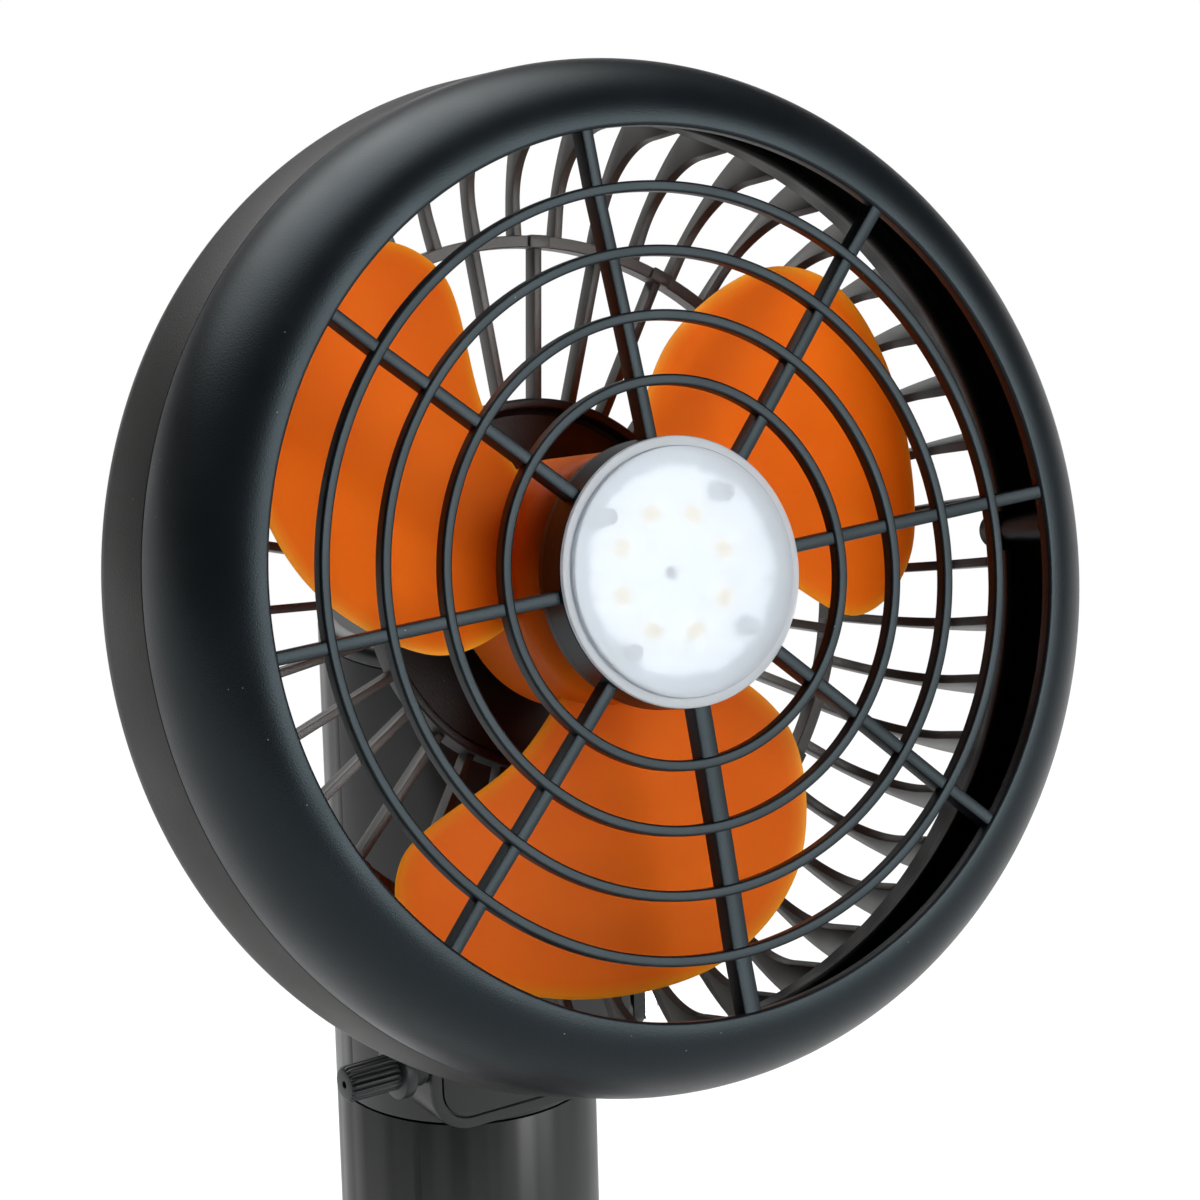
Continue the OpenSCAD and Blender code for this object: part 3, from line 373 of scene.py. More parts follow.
@dataclass(frozen=True)
class Glow:
    """A board or chip with painted light: a glow that stands in for the light reaching it through
    the lens, and on the board painted shade outside a ragged lit circle and round the posts.
    """

    name: str
    colour: str
    strength: float
    # colour of the painted shade on the board, or nothing for none
    outside: str = ""
    place: Matrix | None = None
    # the painted shade: the lit circle's radius and ragged edge, and the ring round each post
    lit_r: Point = (20.5, 21.3)
    middle: Point3 = (2.2, 0.0, 0.0)
    ragged_mm: float = 1.7
    ragged_reach: float = 1.1
    post: Point3 = (13.65, 13.65, 0.0)
    post_rise: Point = (0.9, 1.3)
    post_fall: Point = (1.8, 2.5)
    roughness: float = 0.5
    cloud_mm: float = 4.0
    cloud_share: float = 0.92
    grain_mm: float = 0.8
    depth_mm: float = 0.02

    def build(self) -> bpy.types.Material:
        """Builds the material.

        Returns:
            The material.
        """
        sh = Shader(self.name)
        shade, full = linear(self.colour, self.cloud_share), linear(self.colour)
        links = {0: sh.patches(self.cloud_mm, detail=3), 6: shade, 7: full}
        colour = sh.node("Mix", links, data_type="RGBA")[2]
        # painted shade: the board darkens to the outside colour beyond the lit circle and round the
        # posts
        if self.outside:
            links = {0: self.painted_shade(sh), 6: colour, 7: linear(self.outside)}
            colour = sh.node("Mix", links, data_type="RGBA")[2]
        # the emission is a painted glow that stands in for the light reaching the board through the
        # lens
        links = {
            "Base Color": colour,
            "Roughness": self.roughness,
            "Emission Color": colour,
            "Emission Strength": self.strength,
            "Normal": sh.grain(self.grain_mm, self.depth_mm),
        }
        return sh.finish(sh.node("BsdfPrincipled", links)[0])

    def painted_shade(self, sh: Shader) -> Socket:
        """Finds the painted shade on the board: outside the ragged lit circle and in a ring round
        each post.

        Args:
            sh: The material under construction.

        Returns:
            The share of painted shade.
        """
        frame = {
            "Vector": sh.place,
            "Location": self.place.translation,
            "Rotation": self.place.to_euler(),
            "Scale": self.place.to_scale(),
        }
        local = sh.node("Mapping", frame, vector_type="TEXTURE")[0]
        flat = sh.node("VectorMath", {0: local, 1: (1, 1, 0)}, operation="MULTIPLY")[0]
        away = sh.node("VectorMath", {0: flat, 1: self.middle}, operation="DISTANCE")["Value"]
        reach = (-self.ragged_reach, self.ragged_reach)
        links = {0: away, 1: sh.patches(self.ragged_mm, reach, spread=MOST)}
        ragged = sh.node("Math", links, operation="ADD")[0]
        fold = sh.node("VectorMath", {0: flat}, operation="ABSOLUTE")[0]
        near = sh.node("VectorMath", {0: fold, 1: self.post}, operation="DISTANCE")["Value"]
        rise = sh.node("MapRange", dict(enumerate((near, *self.post_rise, 0, 1))))[0]
        fall = sh.node("MapRange", dict(enumerate((near, *self.post_fall, 1, 0))))[0]
        ring = sh.node("Math", {0: rise, 1: fall}, operation="MULTIPLY")[0]
        rim = sh.node("MapRange", dict(enumerate((ragged, *self.lit_r, 0, 1))))[0]
        return sh.node("Math", {0: rim, 1: ring}, operation="MAXIMUM")[0]


# --- forms ---


def arc(
    cx: float, cy: float, rx: float, ry: float, start: float, end: float, steps: int
) -> list[Point]:
    """Lists points along part of an ellipse, given its centre, half axes and end angles."""
    angles = [math.radians(start + (end - start) * i / steps) for i in range(steps + 1)]
    return [(cx + rx * math.cos(a), cy + ry * math.sin(a)) for a in angles]


def rounded_rect(width: float, height: float, radius: float, steps: int = 8) -> list[Point]:
    """Lists the outline of a rounded rectangle about the origin.

    Args:
        width: Whole width.
        height: Whole height.
        radius: Corner radius.
        steps: Steps in each corner.

    Returns:
        The outline, counter-clockwise.
    """
    x, y = width / 2 - radius, height / 2 - radius
    corners = ((x, y, 0), (-x, y, 90), (-x, -y, 180), (x, -y, 270))
    return [p for cx, cy, a in corners for p in arc(cx, cy, radius, radius, a, a + 90, steps)]


def closed_curve(points: Sequence[Point], steps: int) -> list[Point]:
    """Runs a smooth closed curve through control points.

    Args:
        points: The control points.
        steps: Steps between two control points.

    Returns:
        Points along the curve.
    """
    count = len(points)
    curve = []
    for i in range(count):
        a, b, c, d = (Vector(points[(i + k) % count]) for k in (-1, 0, 1, 2))
        for k in range(steps):
            t = k / steps
            p = 2 * b + (c - a) * t + (2 * a - 5 * b + 4 * c - d) * t**2
            p += (3 * b - a - 3 * c + d) * t**3
            curve.append((p.x / 2, p.y / 2))
    return curve


class Form:
    """A mesh under construction, in millimetres."""

    def __init__(self) -> None:
        """Starts an empty form."""
        self.bm = bmesh.new()

    @classmethod
    def revolved(cls, profile: Sequence[Point], steps: int, span: float = 360.0) -> Form:
        """Turns a closed profile about the z axis.

        Args:
            profile: Radius and height of each corner.
            steps: Steps round the axis.
            span: Angle of the turn in degrees, from the x axis.

        Returns:
            The form.
        """
        form = cls()
        verts = [form.bm.verts.new((r, 0.0, z)) for r, z in profile]
        edges = [form.bm.edges.new(pair) for pair in zip(verts, verts[1:] + verts[:1])]
        bmesh.ops.spin(
            form.bm,
            geom=verts + edges,
            cent=(0, 0, 0),
            axis=(0, 0, 1),
            angle=math.radians(span),
            steps=steps,
            use_merge=span >= 360,
            use_duplicate=False,
        )
        if span < 360:
            rims = [e for e in form.bm.edges if e.is_boundary]
            bmesh.ops.holes_fill(form.bm, edges=rims, sides=0)
        return form.cleaned()

    @classmethod
    def prism(cls, outline: Sequence[Point], low: float, high: float) -> Form:
        """Extrudes an outline along z, from low to high."""
        return cls.lofted([[(x, y, z) for x, y in outline] for z in (low, high)])

    @classmethod
    def lofted(cls, rings: Sequence[Sequence[Sequence[float]]]) -> Form:
        """Skins a row of rings and closes both ends.

        Args:
            rings: Rings with the same number of points each.

        Returns:
            The form.
        """
        form = cls()
        rows = [[form.bm.verts.new(p) for p in ring] for ring in rings]
        for low, high in zip(rows, rows[1:]):
            for i in range(len(low)):
                k = (i + 1) % len(low)
                form.bm.faces.new((low[i], low[k], high[k], high[i]))
        form.bm.faces.new(rows[0])
        form.bm.faces.new(rows[-1])
        return form.cleaned()

    @classmethod
    def rod(cls, radius: float, low: float, high: float, edge: float) -> Form:
        """Makes a round rod along z with rounded ends.

        Args:
            radius: Radius of the rod.
            low: Where it starts.
            high: Where it ends.
            edge: Rounding of its ends.

        Returns:
            The form.
        """
        profile = [(0.0, low), (0.0, high)]
        profile += arc(radius - edge, high - edge, edge, edge, 90, 0, 4)
        profile += arc(radius - edge, low + edge, edge, edge, 0, -90, 4)
        return cls.revolved(profile, 32)

    def cleaned(self) -> Form:
        """Merges doubles and turns the faces outwards.

        Returns:
            This form.
        """
        bmesh.ops.remove_doubles(self.bm, verts=self.bm.verts, dist=1e-4)
        bmesh.ops.dissolve_degenerate(self.bm, edges=self.bm.edges, dist=1e-5)
        bmesh.ops.recalc_face_normals(self.bm, faces=self.bm.faces)
        return self

    def bevelled(self, width: float) -> Form:
        """Rounds the edges that are sharper than 30 degrees.

        Args:
            width: Width of the rounding.

        Returns:
            This form.
        """
        limit = math.radians(30)
        bmesh.ops.bevel(
            self.bm,
            geom=[e for e in self.bm.edges if e.is_manifold and e.calc_face_angle() > limit],
            offset=width,
            affect="EDGES",
            segments=2,
            profile=0.5,
            material=-1,
            clamp_overlap=True,
        )
        return self

    def placed(self, matrix: Matrix) -> Form:
        """Transforms the form and gives it back."""
        bmesh.ops.transform(self.bm, matrix=matrix, verts=self.bm.verts)
        return self

    def moved(self, x: float = 0.0, y: float = 0.0) -> Form:
        """Moves the form along x and y and gives it back."""
        return self.placed(Matrix.Translation((x, y, 0.0)))

    def turned(self, degrees: float, axis: str = "Z") -> Form:
        """Turns the form about an axis through the origin and gives it back."""
        return self.placed(Matrix.Rotation(math.radians(degrees), 4, axis))

    def baked(self, name: str) -> bpy.types.Mesh:
        """Turns the form into a mesh and frees the form.

        Args:
            name: Name of the mesh.

        Returns:
            The mesh.
        """
        mesh = bpy.data.meshes.new(name)
        self.bm.to_mesh(mesh)
        self.bm.free()
        return mesh

    def joined(self, other: Form) -> Form:
        """Adds another form's mesh to this one and frees the other.

        Args:
            other: The other form.

        Returns:
            This form.
        """
        spare = other.baked("spare")
        self.bm.from_mesh(spare)
        bpy.data.meshes.remove(spare)
        return self

    def around(self, first: float, count: int) -> Form:
        """Repeats the form in equal steps about the z axis and frees it.

        Args:
            first: Angle of the first copy in degrees.
            count: Number of copies.

        Returns:
            A form with all the copies.
        """
        spare = self.baked("spare")
        whole = Form()
        for i in range(count):
            before = len(whole.bm.verts)
            whole.bm.from_mesh(spare)
            whole.bm.verts.ensure_lookup_table()
            bmesh.ops.rotate(
                whole.bm,
                verts=whole.bm.verts[before:],
                cent=(0, 0, 0),
                matrix=Matrix.Rotation(math.radians(first + 360 / count * i), 3, "Z"),
            )
        bpy.data.meshes.remove(spare)
        return whole


@dataclass
class Studio:
    """The materials, and the way from a form to a piece of the scene."""

    finishes: dict[str, bpy.types.Material] = field(default_factory=dict)
    weld_m: float = 2e-6
    soften_over_deg: float = 40.0

    def register(self, *finishes: Moulded | Metal | Blade | Frosted | Glow) -> None:
        """Builds the finishes' materials."""
        for finish in finishes:
            self.finishes[finish.name] = finish.build()

    def piece(
        self,
        name: str,
        form: Form,
        place: Matrix,
        body: Body,
        slot: str,
        replaces: str,
        smooth: float = 35.0,
        finish: str = "",
    ) -> None:
        """Turns a form into a piece that rides on a body.

        Args:
            name: Name of the piece.
            form: Its form in millimetres.
            place: Transform from the form's millimetres to the row frame.
            body: The body it rides on.
            slot: The record's material slot.
            replaces: Node that it stands for, or a part of.
            smooth: Edges sharper than this many degrees stay sharp.
            finish: Name of its material, or nothing for the slot's.
        """
        mesh = form.placed(place).baked(name)
        mesh.shade_smooth()
        mesh.set_sharp_from_angle(angle=math.radians(smooth))
        mesh.materials.append(self.finishes[finish or slot])
        obj = bpy.data.objects.new(name, mesh)
        bpy.context.scene.collection.objects.link(obj)
        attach(obj, body.value)
        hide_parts(replaces)
        LOG.info("%s rides on %s in place of %s", name, body.value, replaces)

    def dress(self, obj: bpy.types.Object, finish: str, edge_mm: float) -> None:
        """Gives a solid of the frame its finish and softens its edges.

        Args:
            obj: The solid.
            finish: Name of its material.
            edge_mm: Width of the softening, or 0 for none.
        """
        obj.data.materials.clear()
        obj.data.materials.append(self.finishes[finish])
        if edge_mm:
            weld = obj.modifiers.new("weld", "WELD")
            weld.merge_threshold = self.weld_m
            bevel = obj.modifiers.new("bevel", "BEVEL")
            bevel.width = edge_mm * MM
            bevel.segments = 2
            bevel.limit_method = "ANGLE"
            bevel.angle_limit = math.radians(self.soften_over_deg)
            bevel.harden_normals = True


@dataclass(frozen=True)
class Assembly:
    """A sub-assembly: the studio that makes its pieces, and its place in the row frame."""

    studio: Studio
    place: Matrix


# --- the head ---


@dataclass(frozen=True)
class HeadPose:
    """Where the head stands on the column, in millimetres and degrees."""

    hinge_y: float = -23.5
    hinge_z: float = 159.0
    tilt: float = 20.0
    up_face: float = 95.9
    ahead: float = 107.3

    def at_hinge(self) -> Matrix:
        """Gives the transform from the tilt axis's millimetres to the row frame."""
        turn = Matrix.Rotation(math.radians(90 - self.tilt), 4, "X")
        return Matrix.Scale(MM, 4) @ Matrix.Translation((0, self.hinge_y, self.hinge_z)) @ turn

    def at_head(self) -> Matrix:
        """Gives the transform from the head's millimetres, z out of its front, to the row frame."""
        return self.at_hinge() @ Matrix.Translation((0, self.up_face, self.ahead))


@dataclass(frozen=True)
class HeadSizes:
    """Sizes of the head in millimetres and degrees. Heights are along z, out of the front."""

    radius: float = 104.95
    wall: float = 2.2
    parting: float = -28.0
    back: float = -62.4
    lip_r: float = 90.3
    lip_in: float = 89.4
    lip_z: float = -3.0
    bezel_z: float = -24.0
    drum_z: float = -44.4
    corner_r: float = 71.0
    corner_z: float = 18.0
    hub_plate_r: float = 38.5
    duct_r: float = 93.4
    duct_wall: float = 1.8
    duct_back: float = -33.6
    duct_front: float = -25.0
    rib_t: float = 4.0
    boss_r: float = 97.5
    boss_half: float = 3.6
    boss_turn: float = 114.0
    front_turn: float = -1.3
    rings: tuple[float, ...] = (38.5, 51.45, 64.4, 77.35)
    dome: float = 3.0
    cup_r: float = 27.2
    seam: tuple[Point, ...] = ((0.35, 0.0), (0.08, 0.1), (0.0, 0.4))

    def dome_z(self, r: float) -> float:
        """Gives the height of the front grille at a distance from the head's axis."""
        return -self.dome * min(r / self.rings[-1], 1.0) ** 2

    def corner(self, inset: float, start: float, end: float, steps: int) -> list[Point]:
        """Lists points round the corner behind the drum, at an inset from its surface."""
        wide, deep = self.radius - self.corner_r - inset, self.corner_z - inset
        return arc(self.corner_r, self.drum_z, wide, deep, start, end, steps)


@dataclass(frozen=True)
class FrontGuard(Assembly):
    """Bezel, rings, spokes and lamp cup: one moulding."""

    sizes: HeadSizes
    lip_low: float = -6.0
    lip_soft: float = 0.8
    ring: Point3 = (1.1, 2.8, 0.5)  # half width, depth, rounding
    spoke: Point3 = (1.35, 4.0, 0.45)  # the same
    spoke_under: float = 0.5
    wide_spoke: int = 6
    wide_half: float = 2.0
    cup_low: float = -7.0
    cup_floor: float = -4.85
    cup_rim: float = 1.7
    cup_ledge: float = 4.3
    boss_top: float = -13.0
    pilot_r: float = 1.5
    pilot_end: float = -16.0

    def build(self) -> None:
        """Builds the pieces."""
        parts = {
            "bezel": self.bezel(),
            "front_rings": self.rings(),
            "front_spokes": self.spokes(),
            "lamp_cup": self.cup(),
        }
        place = self.place @ Matrix.Rotation(math.radians(self.sizes.front_turn), 4, "Z")
        for name, form in parts.items():
            self.studio.piece(name, form, place, Body.HEAD, "front_plastic", "front_guard")

    def bezel(self) -> Form:
        """Makes the bezel with its rounded lip.

        Returns:
            The form.
        """
        s = self.sizes
        wide, deep = s.radius - s.lip_r, s.lip_z - s.bezel_z
        outer = arc(s.lip_r, s.bezel_z, wide, deep, 0, 90, 36)
        edge, low, soft = s.lip_in, self.lip_low, self.lip_soft
        lip = arc(edge + soft, s.lip_z - soft, soft, soft, 100, 180, 5)
        lip += [(edge, low + 0.2), (edge + 0.2, low), (edge + soft, low)]
        inner = arc(s.lip_r, s.bezel_z, wide - s.wall, deep - s.wall, 90, 0, 24)
        foot = [(s.radius - s.wall, s.parting)]
        foot += [(s.radius - inset, s.parting + rise) for inset, rise in s.seam]
        return Form.revolved(outer + lip + inner + foot, 288)

    def rings(self) -> Form:
        """Makes the rings with rounded tops.

        Returns:
            The form.
        """
        half, deep, soft = self.ring
        whole = Form()
        for r in self.sizes.rings:
            top = self.sizes.dome_z(r)
            low, shoulder, middle = top - deep, top - soft - 0.2, top - soft
            section = [(r - half, low), (r - half, shoulder)]
            section += arc(r - half + soft, middle, soft, soft, 160, 90, 3)
            section += arc(r + half - soft, middle, soft, soft, 90, 20, 3)
            section += [(r + half, shoulder), (r + half, low)]
            whole.joined(Form.revolved(section, 240))
        return whole

    def spokes(self) -> Form:
        """Makes the eight spokes, the lowest one wider.

        Returns:
            The form.
        """
        s, (usual, deep, soft) = self.sizes, self.spoke
        stops = [s.cup_r - 1.0, *s.rings, s.lip_in + 0.9]
        whole = Form()
        for i in range(8):
            half = self.wide_half if i == self.wide_spoke else usual
            rings = []
            for r in stops:
                top = s.dome_z(r) - self.spoke_under
                edge = [(-half, top - deep), (-half, top - soft)]
                edge += [(-half + 0.12, top - 0.14), (-half + soft, top)]
                ring = edge + [(-y, z) for y, z in reversed(edge)]
                rings.append([(r, y, z) for y, z in ring])
            whole.joined(Form.lofted(rings).turned(45 * i))
        return whole

    def cup(self) -> Form:
        """Makes the lamp cup and the bosses that hold the head together.

        Returns:
            The form.
        """
        s, low, floor = self.sizes, self.cup_low, self.cup_floor
        r, rim, ledge = s.cup_r, s.cup_r - self.cup_rim, s.cup_r - self.cup_ledge
        section = [(r, low), (r, -0.4), (r - 0.3, -0.06), (r - 0.6, 0), (rim, 0)]
        section += [(rim - 0.1, floor), (ledge, floor), (ledge, low)]
        whole = Form.revolved(section, 128)
        bore, wide, top, end = self.pilot_r, s.boss_half, self.boss_top, self.pilot_end
        pilot = [(bore, s.parting), (wide, s.parting), (wide, top), (0.0, top)]
        pilot += [(0.0, end), (bore, end)]
        bosses = Form.revolved(pilot, 32).moved(x=s.boss_r)
        return whole.joined(bosses.around(s.boss_turn - s.front_turn, 3))


@dataclass(frozen=True)
class RearGuard(Assembly):
    """The drum, its ribs and the plate that carries the motor."""

    sizes: HeadSizes
    tongue_r: float = 100.6
    tongue_wall: float = 2.0
    tongue_top: float = -23.0
    tongue_low: float = -35.0
    tongue_slope: float = 3.0
    web_low: float = 0.3
    web_top: float = 1.9
    notch: float = 2.5
    fin_half: float = 0.95
    fin_count: int = 48
    fin_first: float = 5.25
    fin_sweep: Point = (15.5, 15.8)
    bar_half: float = 0.9
    bar_count: int = 30
    bar_first: float = 4.5
    mid_half: float = 1.25
    mid_soft: float = 0.2
    pad: Point = (2.7, 4.7)
    plate_t: float = 2.5
    collar_t: float = 6.4
    collar_wall: float = 2.0
    shaft_r: float = 5.1
    arm_pad_half: float = 13.0
    boss_low: float = -36.0

    def build(self) -> None:
        """Builds the pieces."""
        parts = {
            "rear_drum": self.drum(),
            "duct_ring": self.duct(),
            "rear_ribs": self.ribs(),
            "rear_plate": self.plate(),
        }
        slot, node = "rear_plastic", "rear_guard"
        for name, form in parts.items():
            # the ribs get the lighter grey of the painted sheen
            finish = "rib_painted_sheen" if name == "rear_ribs" else slot
            self.studio.piece(name, form, self.place, Body.HEAD, slot, node, finish=finish)

    def drum(self) -> Form:
        """Makes the solid wall with the tongue that enters the bezel.

        Returns:
            The form.
        """
        s = self.sizes
        top = s.parting - 0.1
        outer = [(s.radius - inset, top - deep) for inset, deep in s.seam]
        outer += s.corner(0.0, 0, -9, 8)
        inner = s.corner(s.wall, -9, 0, 8)
        near, far, low = self.tongue_r, self.tongue_r + self.tongue_wall, self.tongue_low
        tongue = [(far + 0.2, low), (near, low + self.tongue_slope), (near, self.tongue_top)]
        return Form.revolved(outer + inner + tongue + [(far, self.tongue_top), (far, top)], 288)

    def duct(self) -> Form:
        """Makes the ring round the blades' tips, notched at the screw bosses, and its web.

        Returns:
            The form.
        """
        s = self.sizes
        r0, r1, low, top = s.duct_r, s.duct_r + s.duct_wall, s.duct_back, s.duct_front
        split = s.parting - 0.2
        whole = Form.revolved([(r0 + 0.5, low), (r0 + 0.1, split), (r1, split), (r1, low)], 288)
        near, far = r1 - s.duct_wall / 2, s.radius - s.wall / 2
        under, over = low + self.web_low, low + self.web_top
        whole.joined(Form.revolved([(near, under), (near, over), (far, over), (far, under)], 288))
        rim = [(r0 + 0.1, split - 0.05), (r0 - 0.4, top - 0.5), (r0 - 0.25, top - 0.15)]
        rim += [(r0 + 0.1, top), (r1 - 0.5, top), (r1 - 0.1, top - 0.2)]
        rim += [(r1, top - 0.5), (r1, split - 0.05)]
        segment = Form.revolved(rim, 96, 120 - 2 * self.notch)
        return whole.joined(segment.around(s.boss_turn + self.notch, 3))

    def fin(self) -> Form:
        """Makes one outer rib: round the corner, then forward between the wall and the duct.

        Returns:
            The form.
        """
        s = self.sizes
        far, near, front = s.radius - s.wall / 2, s.duct_r + s.duct_wall / 2, s.duct_back + 1.4
        wide, deep = self.fin_sweep
        outline = s.corner(0.3, -90, -13, 14)
        outline += [(far, s.drum_z), (far, front), (near, front)]
        outline += [(near, s.duct_back - 0.3), (near - 0.4, s.duct_back - 0.6)]
        outline += arc(s.duct_r - wide, s.back + s.rib_t + deep, wide, deep, 0, -90, 18)
        outline += [(s.corner_r, s.back + s.rib_t)]
        return Form.prism(outline, -self.fin_half, self.fin_half).bevelled(0.3).turned(90, "X")

    def ribs(self) -> Form:
        """Makes the outer and inner ribs, the middle ring and its pads.

        Returns:
            The form.
        """
        s, half = self.sizes, self.bar_half
        low, face, r = s.back, s.back + s.rib_t, s.corner_r
        whole = self.fin().around(self.fin_first, self.fin_count)
        near = s.hub_plate_r - 1
        bar = Form.prism([(near, -half), (r, -half), (r, half), (near, half)], low, face)
        whole.joined(bar.bevelled(0.28).around(self.bar_first, self.bar_count))
        top, half, soft = face + 0.2, self.mid_half, self.mid_soft
        section = [(r - half, low + soft), (r - half, top - soft), (r - half + soft, top)]
        section += [(r + half - soft, top), (r + half, top - soft), (r + half, low + soft)]
        section += [(r + half - soft, low), (r - half + soft, low)]
        whole.joined(Form.revolved(section, 240))
        pad = Form.prism(rounded_rect(*self.pad, 0.3, 2), low + 1.0, face + 1.0)
        pad = pad.bevelled(0.2).moved(x=r)
        return whole.joined(pad.around(self.bar_first, self.bar_count // 2))

    def plate(self) -> Form:
        """Makes the hub plate with its collar, the arm pad and the screw bosses.

        Returns:
            The form.
        """
        s = self.sizes
        low, r, soft = s.back, s.hub_plate_r, 0.5
        top, inside, floor = low + self.collar_t, r - self.collar_wall, low + self.plate_t
        section = [(self.shaft_r, low), (self.shaft_r, floor), (inside - 1.2, floor)]
        section += [(inside - 0.4, floor + 0.8), (inside, top - soft)]
        section += arc(inside + soft, top - soft, soft, soft, 180, 90, 3)
        section += arc(r - soft, top - soft, soft, soft, 90, 0, 3)
        whole = Form.revolved(section + [(r, low)], 160)
        near, far, thick = s.corner_r - 9, s.corner_r + 13, s.rib_t + 0.6
        pad = [p for p in s.corner(0.3, -90, -60, 8) if p[0] < far]
        pad = [(near, low + 0.3), *pad, (far, pad[-1][1] + 0.4)]
        pad += [(far, low + thick), (near, low + thick)]
        half = self.arm_pad_half
        whole.joined(Form.prism(pad, -half, half).bevelled(0.3).turned(90, "X").turned(-90))
        boss = Form.rod(s.boss_half, self.boss_low, s.parting - 0.1, 0.3).moved(x=s.boss_r)
        web = Form.prism(rounded_rect(7.0, 4.0, 0.4, 2), self.boss_low, s.duct_back + 1.0)
        return whole.joined(boss.joined(web.moved(x=s.boss_r + 3.0)).around(s.boss_turn, 3))


@dataclass(frozen=True)
class Lamp(Assembly):
    """The frosted lens over the light board, with the posts that hold the board down."""

    sizes: HeadSizes
    face: float = 2.0
    floor: float = 0.6
    step: float = 2.0
    soft: float = 0.3
    under: float = 0.1
    skirt: Point = (2.1, 2.9)
    skirt_low: float = -2.2
    post_r: float = 1.7
    post_low: float = -3.1
    posts_r: float = 19.3

    def build(self) -> None:
        """Builds the pieces."""
        for name, form in (("led_cover", self.lens()), ("lens_posts", self.posts())):
            self.studio.piece(name, form, self.place, Body.HEAD, "lens_frosted", "led_lens")

    def lens(self) -> Form:
        """Makes the stepped lens.

        Returns:
            The form.
        """
        r, face, floor, soft = self.sizes.cup_r, self.face, self.floor, self.soft
        near, far = self.skirt
        profile = [(0.0, floor), (0.0, face)]
        profile += arc(r - self.step - soft, face - soft, soft, soft, 90, 0, 5)
        profile += [(r - self.step, floor + soft)]
        profile += arc(r - soft, floor, soft, soft, 90, 0, 4)
        profile += [(r, self.under), (r - near + 0.1, self.under), (r - near, self.skirt_low)]
        profile += [(r - far, self.skirt_low), (r - far - 0.1, floor)]
        return Form.revolved(profile, 160)

    def posts(self) -> Form:
        """Makes the four posts."""
        post = Form.rod(self.post_r, self.post_low, self.floor - 0.02, 0.25).moved(x=self.posts_r)
        return post.around(45 + self.sizes.front_turn, 4)


@dataclass(frozen=True)
class Impeller(Assembly):
    """Three blades on a round hub."""

    outline: tuple[Point, ...] = (
        (14, -4), (32, -25), (46, -51), (67, -50), (82, -23), (82, 6), (66, 25), (39, 29), (20, 15),
    )
    shares: tuple[float, ...] = (
        0.0, 0.15, 0.3, 0.45, 0.6, 0.72, 0.82, 0.9, 0.95, 0.975, 0.99, 1.0,
    )
    middle: Point = (52.0, -8.0)
    first_deg: float = 270.0
    depth: float = 30.4
    pitch: float = 0.3615
    camber: float = 0.0012
    twist: float = 0.0008
    rake: float = 0.023
    twist_x: float = 60.0
    thick: float = 2.0
    taper: float = 0.35
    # width of the band along the edges that gets the painted glow
    rim_mm: float = 3.2
    hub_r: float = 25.5
    hub_soft: float = 6.5
    hub_wall: float = 1.8
    nose: float = -17.0
    back: float = -47.0
    bore_r: float = 1.6
    boss_r: float = 5.0
    boss_low: float = -40.6
    bore_end: float = -20.9

    def build(self) -> None:
        """Builds the pieces."""
        piece, slot, node = self.studio.piece, "blade_orange", "impeller"
        for i in range(3):
            blade = self.blade().turned(self.first_deg + 120 * i)
            piece(f"blade_{i + 1}", blade, self.place, Body.FAN, slot, node, 60)
        piece("fan_hub", self.hub(), self.place, Body.FAN, slot, node)

    def mean_z(self, x: float, y: float) -> float:
        """Gives the blade's mean height at a place along and across it."""
        out = x - self.twist_x
        level = -self.depth + self.pitch * y + self.camber * y * y
        return level + self.twist * out * y - self.rake * out

    def blade(self) -> Form:
        """Makes one blade along x, from nested outlines on both sides.

        Returns:
            The form. Its rim layer says how near each point is to the blade's edge.
        """
        edge = [Vector(p) for p in closed_curve(self.outline, 14)]
        count = len(edge)
        middle = Vector(self.middle)
        form = Form()
        # the rim layer masks the painted glow along the blade's edges
        rim = form.bm.verts.layers.float.new("rim")
        for side in (1, -1):
            rows = []
            for share in self.shares:
                thin = self.thick / 2 * math.sqrt(1 - share**14) * (1 - self.taper * share**2)
                row = []
                for corner in edge if share else edge[:1]:
                    p = middle + (corner - middle) * share
                    row.append(form.bm.verts.new((p.x, p.y, self.mean_z(p.x, p.y) + side * thin)))
                    near = min((p - c).length for c in edge)
                    row[-1][rim] = max(0.0, 1 - near / self.rim_mm) ** 1.5
                rows.append(row)
            for k in range(count):
                n = (k + 1) % count
                form.bm.faces.new((rows[0][0], rows[1][k], rows[1][n]))
                for low, high in zip(rows[1:], rows[2:]):
                    form.bm.faces.new((low[k], high[k], high[n], low[n]))
        return form.cleaned()

    def hub(self) -> Form:
        """Makes the hollow hub with its shaft boss.

        Returns:
            The form.
        """
        r, soft, wall, nose, back = self.hub_r, self.hub_soft, self.hub_wall, self.nose, self.back
        profile = [(r - 0.3, back), (r, back + 0.3)]
        profile += arc(r - soft, nose - soft, soft, soft, 0, 90, 12)
        profile += [(0.0, nose), (0.0, nose - wall)]
        profile += arc(r - soft, nose - soft, soft - wall, soft - wall, 90, 0, 12)
        whole = Form.revolved(profile + [(r - wall, back)], 144)
        bore, wide, low, top, end = self.bore_r, self.boss_r, self.boss_low, nose - 1, self.bore_end
        boss = [(bore, low), (wide, low), (wide, top), (0.0, top), (0.0, end), (bore, end)]
        return whole.joined(Form.revolved(boss, 48))


# --- clamp and column ---


